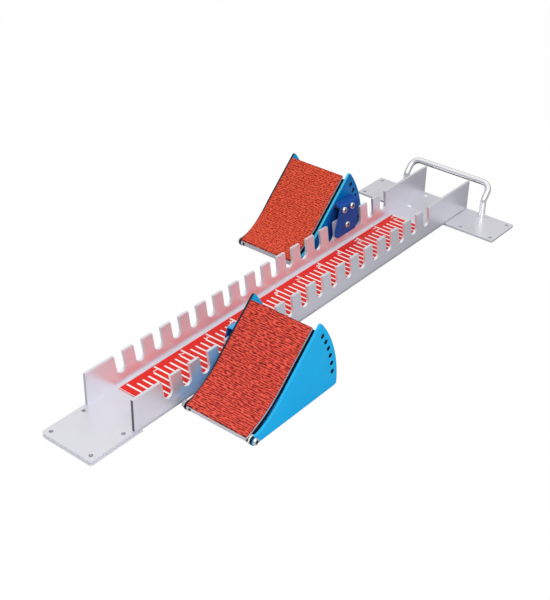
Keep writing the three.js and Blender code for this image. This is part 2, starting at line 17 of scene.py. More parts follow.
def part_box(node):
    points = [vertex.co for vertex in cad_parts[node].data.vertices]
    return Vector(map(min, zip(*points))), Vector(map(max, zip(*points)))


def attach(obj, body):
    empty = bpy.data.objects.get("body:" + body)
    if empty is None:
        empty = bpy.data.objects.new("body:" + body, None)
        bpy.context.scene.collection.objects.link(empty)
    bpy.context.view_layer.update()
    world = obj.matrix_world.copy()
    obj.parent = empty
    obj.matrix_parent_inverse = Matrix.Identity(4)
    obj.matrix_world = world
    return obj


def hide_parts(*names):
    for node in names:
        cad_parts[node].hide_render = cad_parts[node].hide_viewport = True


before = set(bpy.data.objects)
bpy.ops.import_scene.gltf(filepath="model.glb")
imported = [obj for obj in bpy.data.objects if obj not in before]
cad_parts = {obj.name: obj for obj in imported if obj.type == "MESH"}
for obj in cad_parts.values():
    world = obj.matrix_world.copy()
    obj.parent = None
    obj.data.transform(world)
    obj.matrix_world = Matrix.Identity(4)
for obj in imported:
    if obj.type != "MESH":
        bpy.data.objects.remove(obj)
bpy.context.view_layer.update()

log = logging.getLogger("starting_blocks")

MM = 0.001  # a millimetre in the frame's metres
HAIR = 0.01 * MM  # points that lie closer than this are one point
CREASE = 32  # degrees by which a face may turn from the next and still look smooth
CORNER_STEPS = 8  # chords in the round corner of a rectangle
HOLE_STEPS = 32  # chords in the rim of a round hole

Point = tuple[float, float]
Loop = list[Point]
Colour = tuple[float, float, float, float]

WHITE: Colour = (1.0, 1.0, 1.0, 1.0)
SQUARE = (0.0, 0.0, 0.0, 0.0)  # the corner radii of a plain rectangle


class Plane(Enum):
    """The plane that an outline is drawn in. Its thickness goes along the third axis."""

    SIDE = "X and Z"
    FLAT = "X and Y"


class Side(Enum):
    """The side of the rail that a pedal hangs on, as the sign of Y."""

    NEAR = -1
    FAR = 1

    @property
    def prefix(self) -> str:
        """The start of the names of this side's CAD nodes and bodies."""
        return self.name.lower()


class Axis(Enum):
    """The way that a turned piece's axis points in the frame."""

    TO_FAR_SIDE = Matrix.Rotation(math.radians(-90), 4, "X")
    TO_NEAR_SIDE = Matrix.Rotation(math.radians(90), 4, "X")


def rgba(hex_colour: str, share: float = 1.0) -> Colour:
    """Turns a written colour into the linear values that a shader takes.

    Args:
        hex_colour: Six hexadecimal digits, as a colour picker shows them.
        share: How bright it is beside the written colour.

    Returns:
        Red, green and blue in scene-linear light, and an alpha of 1.
    """
    written = [int(hex_colour[i : i + 2], 16) / 255 for i in (0, 2, 4)]
    linear = [s / 12.92 if s <= 0.04045 else ((s + 0.055) / 1.055) ** 2.4 for s in written]
    red, green, blue = (min(c * share, 1.0) for c in linear)
    return (red, green, blue, 1.0)


def polar(centre: Point, radius: float, degrees: float) -> Point:
    """Finds a point on a circle.

    Args:
        centre: The circle's centre.
        radius: Its radius.
        degrees: The angle from the first axis.

    Returns:
        The point.
    """
    turn = math.radians(degrees)
    return (centre[0] + radius * math.cos(turn), centre[1] + radius * math.sin(turn))


def arc(centre: Point, radius: float, start: float, end: float, steps: int) -> Loop:
    """Lays points along an arc.

    Args:
        centre: The arc's centre.
        radius: Its radius.
        start: The angle where it starts, in degrees.
        end: The angle where it ends.
        steps: The number of chords.

    Returns:
        The points, both ends included.
    """
    return [polar(centre, radius, start + (end - start) * i / steps) for i in range(steps + 1)]


def curve_to(start: Point, control: Point, end: Point, steps: int) -> Loop:
    """Lays points along a curve that is pulled towards one control point.

    Args:
        start: Where it starts. This point isn't repeated.
        control: The point that pulls it.
        end: Where it ends.
        steps: The number of chords.

    Returns:
        The points after the start.
    """
    points = []
    for i in range(1, steps + 1):
        t = i / steps
        weights = ((1 - t) ** 2, 2 * t * (1 - t), t * t)
        pulls = tuple(zip(weights, (start, control, end), strict=True))
        points.append((sum(w * p[0] for w, p in pulls), sum(w * p[1] for w, p in pulls)))
    return points


def round_hole(centre: Point, diameter: float) -> Loop:
    """Makes the rim of a round hole.

    Args:
        centre: The hole's centre.
        diameter: Its diameter.

    Returns:
        The rim, clockwise.
    """
    return arc(centre, diameter / 2, 360, 0, HOLE_STEPS)[:-1]


def rounded_rectangle(low: Point, high: Point, radii: Sequence[float] = SQUARE) -> Loop:
    """Makes a rectangle whose corners may be round.

    Args:
        low: The corner with the lowest coordinates.
        high: The corner with the highest coordinates.
        radii: The corners' radii, counter-clockwise from the lowest corner.

    Returns:
        The rim, counter-clockwise.
    """
    corners = [(low[0], low[1]), (high[0], low[1]), (high[0], high[1]), (low[0], high[1])]
    inward = [(1, 1), (-1, 1), (-1, -1), (1, -1)]
    rim: Loop = []
    for i, (corner, way, radius) in enumerate(zip(corners, inward, radii, strict=True)):
        if radius <= 0:
            rim.append(corner)
            continue
        centre = (corner[0] + way[0] * radius, corner[1] + way[1] * radius)
        rim += arc(centre, radius, 180 + 90 * i, 270 + 90 * i, CORNER_STEPS)
    return rim


def middle_of(node: str) -> Vector:
    """Finds the middle of a CAD node's box.

    Args:
        node: Its name.

    Returns:
        The middle.
    """
    low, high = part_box(node)
    return (low + high) / 2


def link(name: str, data: bpy.types.ID) -> bpy.types.Object:
    """Puts a mesh, a curve, a lamp or a camera into the scene as an object at the origin.

    Args:
        name: The object's name.
        data: What it shows.

    Returns:
        The object.
    """
    obj = bpy.data.objects.new(name, data)
    bpy.context.scene.collection.objects.link(obj)
    return obj


def drop(obj: bpy.types.Object) -> None:
    """Removes a helper object from the scene.

    Args:
        obj: The object.
    """
    bpy.data.objects.remove(obj, do_unlink=True)


def baked(obj: bpy.types.Object, name: str) -> bpy.types.Object:
    """Turns a curve, or an object with modifiers, into an object that is a plain mesh.

    Args:
        obj: The object. It is removed.
        name: The name of the new one.

    Returns:
        The new object.
    """
    graph = bpy.context.evaluated_depsgraph_get()
    graph.update()
    mesh = bpy.data.meshes.new_from_object(obj.evaluated_get(graph), depsgraph=graph)
    mesh.name = name
    drop(obj)
    return link(name, mesh)


def modified(obj: bpy.types.Object, kind: str, **settings: object) -> bpy.types.Object:
    """Runs one modifier on an object.

    Args:
        obj: The object. It is removed.
        kind: The modifier's type.
        settings: Properties to set on it.

    Returns:
        The result as a new object of the same name.
    """
    name = obj.name
    modifier = obj.modifiers.new(kind.lower(), kind)
    for key, value in settings.items():
        setattr(modifier, key, value)
    return baked(obj, name)


def evened(obj: bpy.types.Object) -> bpy.types.Object:
    """Lets large faces set a piece's normals, so that they stay flat beside round edges.

    Args:
        obj: The piece. It is removed.

    Returns:
        The piece as a new object.
    """
    return modified(obj, "WEIGHTED_NORMAL", weight=100, keep_sharp=True)


def creased(mesh: bpy.types.Mesh, degrees: float = CREASE) -> None:
    """Shades a mesh smoothly, but keeps its creases sharp.

    Args:
        mesh: The mesh.
        degrees: Edges that turn by more than this stay sharp.
    """
    mesh.shade_smooth()
    mesh.set_sharp_from_angle(angle=math.radians(degrees))


def tidy_mesh(mesh: bpy.types.Mesh, degrees: float = CREASE) -> None:
    """Joins a mesh's doubles, turns its faces outwards and keeps its creases sharp.

    Args:
        mesh: The mesh.
        degrees: Edges that turn by more than this stay sharp.
    """
    bm = bmesh.new()
    bm.from_mesh(mesh)
    bmesh.ops.remove_doubles(bm, verts=bm.verts, dist=HAIR)
    bmesh.ops.recalc_face_normals(bm, faces=bm.faces)
    bm.to_mesh(mesh)
    bm.free()
    creased(mesh, degrees)


def mesh_from(bm: bmesh.types.BMesh, name: str) -> bpy.types.Mesh:
    """Keeps a finished edit mesh as a mesh.

    Args:
        bm: The edit mesh. It is freed.
        name: The mesh's name.

    Returns:
        The mesh.
    """
    mesh = bpy.data.meshes.new(name)
    bm.to_mesh(mesh)
    bm.free()
    return mesh


def mark_faces(mesh: bpy.types.Mesh, mark_of: Callable[[bpy.types.MeshPolygon], float]) -> None:
    """Marks faces for painted light: above 0 for a finish's second tone, a painted highlight or
    painted shade, and below 0 for painted shade in a hollow.

    Args:
        mesh: The mesh.
        mark_of: Gives a face's mark from -1 to 1.
    """
    mark = mesh.attributes.new("marked", "FLOAT", "FACE")
    mark.data.foreach_set("value", [float(mark_of(face)) for face in mesh.polygons])


def add_line(data: bpy.types.Curve, places: Sequence[Sequence[float]], cyclic: bool) -> None:
    """Adds a line of straight pieces to a curve.

    Args:
        data: The curve.
        places: The line's points.
        cyclic: Whether its end joins its start.
    """
    line = data.splines.new("POLY")
    line.points.add(len(places) - 1)
    for point, place in zip(line.points, places, strict=True):
        point.co = (*place, 1)
    line.use_cyclic_u = cyclic


def plate(
    name: str,
    rim: Loop,
    plane: Plane,
    low: float,
    high: float,
    holes: Sequence[Loop] = (),
    edge: float = HAIR,
) -> bpy.types.Object:
    """Makes a flat piece with broken edges from its outline and holes.

    Its curve is drawn in millimetres, so that its points lie well apart.

    Args:
        name: The object's name.
        rim: The outline, counter-clockwise.
        plane: The plane that it is drawn in.
        low: Where the thickness starts.
        high: Where it ends.
        holes: The rims of its holes, clockwise.
        edge: How far its edges are rounded.

    Returns:
        The object.
    """
    data = bpy.data.curves.new(name, "CURVE")
    data.dimensions = "2D"
    data.fill_mode = "BOTH"
    data.extrude = ((high - low) / 2 - edge) / MM
    data.bevel_depth = edge / MM
    data.bevel_resolution = 1
    data.offset = -edge / MM
    for loop in [rim, *holes]:
        add_line(data, [(u / MM, v / MM, 0) for u, v in loop], cyclic=True)
    solid = baked(link(name, data), name)
    middle = (low + high) / 2
    for vertex in solid.data.vertices:
        u, v, depth = vertex.co * MM
        vertex.co = (u, middle + depth, v) if plane is Plane.SIDE else (u, v, middle + depth)
    tidy_mesh(solid.data)
    return evened(solid)


def joined(name: str, objects: Sequence[bpy.types.Object]) -> bpy.types.Object:
    """Puts the meshes of several objects into one and removes the objects.

    Args:
        name: The new object's name.
        objects: The objects.

    Returns:
        The new object.
    """
    bm = bmesh.new()
    for obj in objects:
        bm.from_mesh(obj.data)
        drop(obj)
    mesh = mesh_from(bm, name)
    creased(mesh)
    return evened(link(name, mesh))


@dataclass(frozen=True)
class Ring:
    """One ring of a turned piece: its radius, its place along the axis and its number of flats."""

    radius: float
    place: float
    flats: int = 0

    def reach(self, degrees: float) -> float:
        """Finds how far the ring lies from the axis.

        Args:
            degrees: The angle about the axis.

        Returns:
            The radius there. A ring with flats is as wide as its radius across their middles.
        """
        if not self.flats:
            return self.radius
        step = 360 / self.flats
        return self.radius / math.cos(math.radians(degrees % step - step / 2))


def bore_rings(radius: float, length: float, chamfer: float) -> list[Ring]:
    """Makes the rings of a bore with broken edges.

    Args:
        radius: The bore's radius.
        length: Its length.
        chamfer: How far its edges are broken.

    Returns:
        The rings, back from the far end.
    """
    wide = radius + chamfer
    return [
        Ring(wide, length),
        Ring(radius, length - chamfer),
        Ring(radius, chamfer),
        Ring(wide, 0),
    ]


def turned_mesh(name: str, rings: Sequence[Ring], closed: bool, steps: int = 48) -> bpy.types.Mesh:
    """Makes a turned piece about the third axis.

    Args:
        name: The mesh's name.
        rings: Its rings in order, along its outside.
        closed: Whether the last ring joins the first, as on a sleeve. Otherwise each end is a face.
        steps: The number of sides.

    Returns:
        The mesh.
    """
    bm = bmesh.new()
    angles = [360 * i / steps for i in range(steps)]
    rows = [
        [bm.verts.new((*polar((0, 0), ring.reach(angle), angle), ring.place)) for angle in angles]
        for ring in rings
    ]
    pairs = list(zip(rows, rows[1:], strict=False))
    if closed:
        pairs.append((rows[-1], rows[0]))
    for lower, upper in pairs:
        for i in range(steps):
            j = (i + 1) % steps
            bm.faces.new((lower[i], lower[j], upper[j], upper[i]))
    if not closed:
        bm.faces.new(reversed(rows[0]))
        bm.faces.new(rows[-1])
    mesh = mesh_from(bm, name)
    tidy_mesh(mesh)
    return mesh


class NodeTree:
    """A node tree under construction, with short ways to add and join nodes."""

    def __init__(self, tree: bpy.types.NodeTree) -> None:
        """Starts with an existing tree."""
        self.tree = tree

    def add(self, kind: str, **settings: object) -> bpy.types.Node:
        """Adds a node.

        Args:
            kind: Its type.
            settings: Properties to set on it.

        Returns:
            The node.
        """
        node = self.tree.nodes.new(kind)
        for name, value in settings.items():
            setattr(node, name, value)
        return node

    def join(self, source: object, target: bpy.types.NodeSocket) -> None:
        """Joins an output to an input.

        Args:
            source: The output, or a plain value for the input.
            target: The input.
        """
        if isinstance(source, bpy.types.NodeSocket):
            self.tree.links.new(source, target)
        else:
            target.default_value = source

    def feed(self, node: bpy.types.Node, **values: object) -> bpy.types.Node:
        """Sets a node's inputs by name. Underscores stand for spaces.

        Args:
            node: The node.
            values: An output to join or a value to set for each input.

        Returns:
            The same node.
        """
        for name, value in values.items():
            self.join(value, node.inputs[name.replace("_", " ")])
        return node

    def make(self, kind: str, **values: object) -> bpy.types.Node:
        """Adds a node and sets its inputs by name."""
        return self.feed(self.add(kind), **values)

    def group(self, shared: bpy.types.NodeTree, **values: object) -> bpy.types.Node:
        """Places a shared group and sets its inputs by name."""
        return self.feed(self.add("ShaderNodeGroup", node_tree=shared), **values)

    def result(self, node: bpy.types.Node, *values: object) -> bpy.types.NodeSocket:
        """Sets a node's first inputs in their order.

        Args:
            node: The node.
            values: An output to join or a value to set for each input.

        Returns:
            The node's first output.
        """
        for value, socket in zip(values, node.inputs, strict=False):
            self.join(value, socket)
        return node.outputs[0]

    def maths(self, operation: str, *values: object) -> bpy.types.NodeSocket:
        """Works out a number from one or two others."""
        return self.result(self.add("ShaderNodeMath", operation=operation), *values)

    def stretched(self, vector: object, scale: object) -> bpy.types.NodeSocket:
        """Multiplies a vector by another, part by part."""
        return self.result(self.add("ShaderNodeVectorMath", operation="MULTIPLY"), vector, scale)

    def parts(self, vector: bpy.types.NodeSocket) -> bpy.types.bpy_prop_collection:
        """Takes a vector apart into X, Y and Z."""
        return self.make("ShaderNodeSeparateXYZ", Vector=vector).outputs

    def place(self) -> bpy.types.NodeSocket:
        """Gives each point's place in the frame, since every piece's own origin is the frame's."""
        return self.add("ShaderNodeTexCoord").outputs["Object"]

    def blend(
        self, share: object, first: object, second: object, way: str = "MIX"
    ) -> bpy.types.NodeSocket:
        """Mixes two colours.

        Args:
            share: How much the second one counts, from 0 to 1.
            first: The first colour.
            second: The second colour.
            way: The way they are mixed.

        Returns:
            The mixed colour.
        """
        mix = self.add("ShaderNodeMix", data_type="RGBA", blend_type=way)
        factor, from_colour, to_colour = mix.inputs[0], mix.inputs[6], mix.inputs[7]
        self.join(share, factor)
        self.join(first, from_colour)
        self.join(second, to_colour)
        return mix.outputs[2]


class GeometryTree(NodeTree):
    """A Geometry Nodes tree with named inputs. The last of them is its material."""

    def __init__(self, name: str, **inputs: str) -> None:
        """Makes the tree and its sockets.

        Args:
            name: The tree's name.
            inputs: The type of each named input after the geometry, as in NodeSocketFloat.
        """
        super().__init__(bpy.data.node_groups.new(name, "GeometryNodeTree"))
        interface = self.tree.interface
        for label, kind in {"Geometry": "Geometry", **inputs, "Material": "Material"}.items():
            interface.new_socket(label, in_out="INPUT", socket_type=f"NodeSocket{kind}")
        interface.new_socket("Geometry", in_out="OUTPUT", socket_type="NodeSocketGeometry")
        self.given = self.add("NodeGroupInput").outputs
        self.end = self.add("NodeGroupOutput")

    def row(self, **start: object) -> bpy.types.NodeSocket:
        """Lays points along X. The tree's inputs give their Count and Pitch.

        Args:
            start: Where the row starts, as Start_Location.

        Returns:
            The points.
        """
        step = self.make("ShaderNodeCombineXYZ", X=self.given["Pitch"]).outputs[0]
        return self.make(
            "GeometryNodeMeshLine", Count=self.given["Count"], Offset=step, **start
        ).outputs[0]

    def shape_of(self, label: str) -> bpy.types.NodeSocket:
        """Takes the shape of the object that one of the inputs names."""
        return self.make("GeometryNodeObjectInfo", Object=self.given[label]).outputs["Geometry"]

    def copies(self, points: object, shape: object, **size: object) -> bpy.types.NodeSocket:
        """Sets a copy of a shape at each point."""
        setter = self.make("GeometryNodeInstanceOnPoints", Points=points, Instance=shape, **size)
        return setter.outputs[0]

    def attribute(self, name: str, kind: str = "FLOAT") -> bpy.types.NodeSocket:
        """Reads one of the mesh's own attributes."""
        node = self.add("GeometryNodeInputNamedAttribute", data_type=kind)
        return self.feed(node, Name=name).outputs["Attribute"]

    def finish(self, geometry: bpy.types.NodeSocket) -> None:
        """Ends the tree with real geometry and its material.

        Args:
            geometry: What the tree made.
        """
        real = self.make("GeometryNodeRealizeInstances", Geometry=geometry).outputs[0]
        painted = self.make(
            "GeometryNodeSetMaterial", Geometry=real, Material=self.given["Material"]
        )
        self.join(painted.outputs[0], self.end.inputs[0])

    def run(self, carrier: bpy.types.Object, name: str, **values: object) -> bpy.types.Object:
        """Runs the tree on an object and keeps the result as a plain mesh.

        Args:
            carrier: The object that the tree works on. It is removed.
            name: The name of the result.
            values: A value for each named input.

        Returns:
            The new object.
        """
        modifier = carrier.modifiers.new("nodes", "NODES")
        modifier.node_group = self.tree
        items = self.tree.interface.items_tree
        identifiers = {item.name: item.identifier for item in items if item.in_out == "INPUT"}
        for label, value in values.items():
            modifier[identifiers[label]] = value
        return baked(carrier, name)


def points_object(places: Iterable[Sequence[float]]) -> bpy.types.Object:
    """Makes a helper object of loose points.

    Args:
        places: The points.

    Returns:
        The object.
    """
    mesh = bpy.data.meshes.new("places")
    mesh.from_pydata([tuple(p) for p in places], [], [])
    return link("places", mesh)


class Fasteners:
    """The tree that sets one fastener at each of several places."""

    def __init__(self) -> None:
        """Builds the tree."""
        self.tree = GeometryTree("fasteners_at_places", Fastener="Object")
        shape = self.tree.shape_of("Fastener")
        self.tree.finish(self.tree.copies(self.tree.given["Geometry"], shape))

    def set_at(
        self,
        name: str,
        mesh: bpy.types.Mesh,
        places: Iterable[Sequence[float]],
        material: bpy.types.Material,
    ) -> bpy.types.Object:
        """Sets a fastener at each place.

        Args:
            name: The name of the set.
            mesh: One fastener about the origin, already turned the right way.
            places: Where they go.
            material: Their finish.

        Returns:
            The set as one object.
        """
        master = link("fastener", mesh)
        made = self.tree.run(points_object(places), name, Fastener=master, Material=material)
        drop(master)
        tidy_mesh(made.data)
        return made


class EffectGroup(NodeTree):
    """A shader node group with named inputs and outputs."""

    def __init__(self, name: str, outputs: dict[str, str], **inputs: float | Colour) -> None:
        """Makes the group and its sockets.

        Args:
            name: The group's name.
            outputs: The type of each output, as in NodeSocketFloat.
            inputs: The default of each number or colour that goes in. Underscores stand for spaces.
        """
        super().__init__(bpy.data.node_groups.new(name, "ShaderNodeTree"))
        interface = self.tree.interface
        for label, default in inputs.items():
            kind = "NodeSocketFloat" if isinstance(default, float) else "NodeSocketColor"
            socket = interface.new_socket(label.replace("_", " "), in_out="INPUT", socket_type=kind)
            socket.default_value = default
        for label, kind in outputs.items():
            interface.new_socket(label, in_out="OUTPUT", socket_type=f"NodeSocket{kind}")
        self.given = self.add("NodeGroupInput").outputs
        self.end = self.add("NodeGroupOutput")


class ShaderEffects:
    """The shader node groups that several finishes share. Each is built once."""

    def __init__(self) -> None:
        """Builds the groups."""
        self.grain = self._grain()
        self.lines = self._lines()
        self.dust = self._dust()

    @staticmethod
    def _grain() -> bpy.types.NodeTree:
        """Builds the fine unevenness of a surface.

        Returns:
            A group that puts out a height and a soft patchy mask.
        """
        outputs = {"Height": "Float", "Patches": "Float"}
        group = EffectGroup("surface_grain", outputs, Scale=900.0, Patch_Scale=18.0)
        place = group.place()
        for output, scale, detail in (("Height", "Scale", 2.0), ("Patches", "Patch Scale", 3.0)):
            noise = group.make(
                "ShaderNodeTexNoise", Vector=place, Scale=group.given[scale], Detail=detail
            )
            group.join(noise.outputs["Fac"], group.end.inputs[output])
        return group.tree

    @staticmethod
    def _lines() -> bpy.types.NodeTree:
        """Builds the fine lines that drawing or brushing leaves along X.

        Returns:
            A group that puts out a height.
        """
        group = EffectGroup("drawn_lines", {"Height": "Float"}, Along=6.0, Across=900.0)
        across = group.given["Across"]
        scale = group.make("ShaderNodeCombineXYZ", X=group.given["Along"], Y=across, Z=across)
        drawn = group.stretched(group.place(), scale.outputs[0])
        noise = group.make("ShaderNodeTexNoise", Vector=drawn, Scale=1.0, Detail=2.0)
        group.join(noise.outputs["Fac"], group.end.inputs["Height"])
        return group.tree

    @staticmethod
    def _dust() -> bpy.types.NodeTree:
        """Builds the thin dust that settles on faces that look up.

        Returns:
            A group that takes a colour and puts it out with dust over it.
        """
        group = EffectGroup(
            "settled_dust", {"Color": "Color"}, Color=WHITE, Dust=rgba("c9c2b4"), Amount=0.1
        )
        spots = group.make("ShaderNodeTexNoise", Vector=group.place(), Scale=55.0, Detail=5.0)
        normal = group.add("ShaderNodeNewGeometry").outputs["Normal"]
        upward = group.maths("MAXIMUM", group.parts(normal)["Z"], 0.0)
        settled = group.maths("MULTIPLY", upward, spots.outputs["Fac"])
        mask = group.maths("MULTIPLY", settled, group.given["Amount"])
        dusty = group.blend(mask, group.given["Color"], group.given["Dust"])
        group.join(dusty, group.end.inputs["Color"])
        return group.tree


@dataclass(frozen=True)
class Finish:
    """What every finish has: its slot in the record, its tones and how its surface varies."""

    slot: str
    colour: str
    roughness: float
    # the colour of painted light on faces whose mark is above 0: a painted highlight on some
    # finishes, painted shade on others
    marked_colour: str = "808080"
    # painted shade in hollows, on faces whose mark is below 0
    deep_colour: str = "05080c"
    metallic: float = 0.0
    specular: float = 0.5
    coat: float = 0.0
    coat_roughness: float = 0.03
    dimmest: float = 0.94
    brightest: float = 1.06
    dust: float = 0.0
    grain_scale: float = 800.0
    patch_scale: float = 20.0
    roughness_change: float = 0.05
    bump: float = 0.15
    bump_depth: float = 0.02 * MM

    def tone(self, tree: NodeTree, grain: bpy.types.Node) -> bpy.types.NodeSocket:
        """Varies the colour in patches, paints a face's second tone, a highlight or shade, where
        its mark is above 0, and paints shade in hollows where it is below 0.

        Args:
            tree: The material's tree.
            grain: Its surface grain.

        Returns:
            The colour.
        """
        low, high = rgba(self.colour, self.dimmest), rgba(self.colour, self.brightest)
        tinted = tree.blend(grain.outputs["Patches"], low, high)
        mark = tree.add("ShaderNodeAttribute", attribute_name="marked").outputs["Fac"]
        marked = tree.blend(mark, tinted, rgba(self.marked_colour))
        return tree.blend(tree.maths("MULTIPLY", mark, -1.0), marked, rgba(self.deep_colour))

    def surface(
        self, tree: NodeTree, grain: bpy.types.Node, effects: ShaderEffects
    ) -> tuple[bpy.types.NodeSocket, bpy.types.NodeSocket]:
        """Gives what the roughness follows and what the height follows."""
        return grain.outputs["Patches"], grain.outputs["Height"]

    def material(self, effects: ShaderEffects, name: str) -> bpy.types.Material:
        """Builds the finish as a material.

        Args:
            effects: The shared node groups.
            name: The material's name.

        Returns:
            The material.
        """
        made = bpy.data.materials.new(name)
        made.use_nodes = True
        tree = NodeTree(made.node_tree)
        grain = tree.group(effects.grain, Scale=self.grain_scale, Patch_Scale=self.patch_scale)
        tone = self.tone(tree, grain)
        if self.dust:
            tone = tree.group(effects.dust, Color=tone, Amount=self.dust).outputs["Color"]
        mask, height = self.surface(tree, grain, effects)
        smoothest = self.roughness - self.roughness_change
        roughest = self.roughness + self.roughness_change
        span = tree.make("ShaderNodeMapRange", Value=mask, To_Min=smoothest, To_Max=roughest)
        bump = tree.make(
            "ShaderNodeBump", Height=height, Strength=self.bump, Distance=self.bump_depth
        )
        tree.feed(
            made.node_tree.nodes["Principled BSDF"],
            Base_Color=tone,
            Roughness=span.outputs[0],
            Normal=bump.outputs[0],
            Metallic=self.metallic,
            Specular_IOR_Level=self.specular,
            Coat_Weight=self.coat,
            Coat_Roughness=self.coat_roughness,
        )
        return made


@dataclass(frozen=True)
class SatinAluminium(Finish):
    """Anodised aluminium with fine lines along the rail."""

    metallic: float = 0.6
    dimmest: float = 0.96
    brightest: float = 1.03
    dust: float = 0.12
    grain_scale: float = 700.0
    patch_scale: float = 14.0
    roughness_change: float = 0.07
    bump: float = 0.35
    bump_depth: float = 0.006 * MM
    lines_along: float = 5.0
    lines_across: float = 1100.0

    def surface(
        self, tree: NodeTree, grain: bpy.types.Node, effects: ShaderEffects
    ) -> tuple[bpy.types.NodeSocket, bpy.types.NodeSocket]:
        """Adds the drawn lines to the grain.

        Args:
            tree: The material's tree.
            grain: Its surface grain.
            effects: The shared node groups.

        Returns:
            What the roughness follows and what the height follows.
        """
        drawn = tree.group(effects.lines, Along=self.lines_along, Across=self.lines_across)
        lines = drawn.outputs["Height"]
        return lines, tree.maths("ADD", lines, grain.outputs["Height"])


@dataclass(frozen=True)
class Enamel(Finish):
    """Glossy powder paint with a slight orange peel, which may be brighter along a piece's top."""

    specular: float = 0.12
    coat: float = 0.04
    coat_roughness: float = 0.2
    dimmest: float = 0.93
    brightest: float = 1.07
    dust: float = 0.02
    grain_scale: float = 420.0
    patch_scale: float = 22.0
    roughness_change: float = 0.06
    bump: float = 0.25
    bump_depth: float = 0.05 * MM
    top_colour: str = ""
    top_from: float = 0.0
    top_span: float = 2 * MM

    def tone(self, tree: NodeTree, grain: bpy.types.Node) -> bpy.types.NodeSocket:
        """Brightens the paint towards the piece's top, where it catches the light.

        Args:
            tree: The material's tree.
            grain: Its surface grain.

        Returns:
            The colour.
        """
        paint = super().tone(tree, grain)
        if not self.top_colour:
            return paint
        height, top = tree.parts(tree.place())["Z"], self.top_from + self.top_span
        above = tree.make("ShaderNodeMapRange", Value=height, From_Min=self.top_from, From_Max=top)
        return tree.blend(above.outputs[0], paint, rgba(self.top_colour))


@dataclass(frozen=True)
class BrightSteel(Finish):
    """Plated steel, as on rivets and screws."""

    metallic: float = 1.0
    dimmest: float = 0.85
    brightest: float = 1.1
    grain_scale: float = 1500.0
    patch_scale: float = 160.0
    roughness_change: float = 0.1
    bump: float = 0.2
    bump_depth: float = 0.01 * MM


@dataclass(frozen=True)
class BlackenedSteel(Finish):
    """Blackened steel that is slightly polished where it is handled."""

    metallic: float = 0.6
    dimmest: float = 0.6
    brightest: float = 1.6
    grain_scale: float = 1200.0
    patch_scale: float = 70.0
    roughness_change: float = 0.12
    bump: float = 0.3


@dataclass(frozen=True)
class TrackRubber(Finish):
    """Red track rubber with a wavy relief, painted darker in its grooves as shade and lighter on
    its crests as a highlight.
    """

    grain_scale: float = 1600.0
    patch_scale: float = 26.0
    roughness_change: float = 0.08
    bump: float = 0.5
    bump_depth: float = 0.15 * MM
    groove_colour: str = "76170f"
    crest_colour: str = "ec5643"
    groove_at: float = 0.05
    speckle: float = 0.2
    speckle_span: tuple[float, float] = (0.3, 0.62)

    def tone(self, tree: NodeTree, grain: bpy.types.Node) -> bpy.types.NodeSocket:
        """Colours the rubber by the height of its relief, with painted shade in the grooves and a
        painted highlight on the crests, and speckles it.

        Args:
            tree: The material's tree.
            grain: Its surface grain.

        Returns:
            The colour.
        """
        relief = tree.add("ShaderNodeAttribute", attribute_name="relief")
        ramp = tree.make("ShaderNodeValToRGB", Fac=relief.outputs["Fac"])
        stops = ramp.color_ramp.elements
        stops.new(0.5)
        tones = ((self.groove_at, self.groove_colour), (0.5, self.colour), (1.0, self.crest_colour))
        for stop, (place, colour) in zip(stops, tones, strict=True):
            stop.position = place
            stop.color = rgba(colour)
        specks = tree.make("ShaderNodeValToRGB", Fac=grain.outputs["Height"])
        for stop, place in zip(specks.color_ramp.elements, self.speckle_span, strict=True):
            stop.position = place
        return tree.blend(self.speckle, ramp.outputs["Color"], specks.outputs["Color"], "MULTIPLY")


@dataclass(frozen=True)
class PrintedVinyl(Finish):
    """Smooth printed film, for the scale's ground and its ink."""

    specular: float = 0.2
    dust: float = 0.04


@dataclass(frozen=True)
class Palette:
    """Every finish of the blocks."""

    # The aluminium's second tone, 5a5c66, is painted shade on the walls' front ends.
    aluminium: Finish = SatinAluminium("aluminium", "f1f1f9", 0.32, "5a5c66")
    # The bar's second tone, 3a3c46, is painted shade on its underside.
    bar: Finish = SatinAluminium("aluminium", "fafafd", 0.24, "3a3c46", bump_depth=0.001 * MM)
    bright_steel: Finish = BrightSteel("bright_steel", "eceef2", 0.26)
    black_steel: Finish = BlackenedSteel("black_steel", "24282d", 0.42)
    # The next three are one blue paint: the first has a painted highlight on its edges, the second
    # painted shade on its edges, and the third is painted darker as shade, with a painted highlight
    # on its edges.
    blue: Finish = Enamel("blue_enamel", "00bcff", 0.36, "22b4ee")
    dark_edged_blue: Finish = Enamel("blue_enamel", "00bcff", 0.36, "12303f")
    deep_blue: Finish = Enamel("blue_enamel", "0479c8", 0.36, "3fc6ea")
    # The next two are one navy paint: the second, for the near bracket, is painted darker as shade,
    # with a painted highlight along its top.
    navy: Finish = Enamel("navy_enamel", "134da0", 0.38)
    near_navy: Finish = Enamel(
        "navy_enamel", "0c3f86", 0.38, top_colour="46b6f0", top_from=66 * MM
    )
    # This near-black paint on the pad's ribs is partly their own dark paint and partly painted
    # shade under the pad.
    dark: Finish = Enamel("dark_enamel", "14242e", 0.45)
    # The next two are one rubber: the far pad's is painted brighter, as it is lit more.
    rubber: Finish = TrackRubber("red_rubber", "cb3526", 0.82)
    far_rubber: Finish = TrackRubber(
        "red_rubber", "e03a22", 0.82, groove_colour="8a1c10", crest_colour="f5643f"
    )
    scale_ground: Finish = PrintedVinyl("scale_vinyl", "e4190e", 0.38)
    scale_ink: Finish = PrintedVinyl("scale_vinyl", "fbf6f2", 0.42)
    nylon: Finish = PrintedVinyl("nylon", "e8e6e0", 0.5)


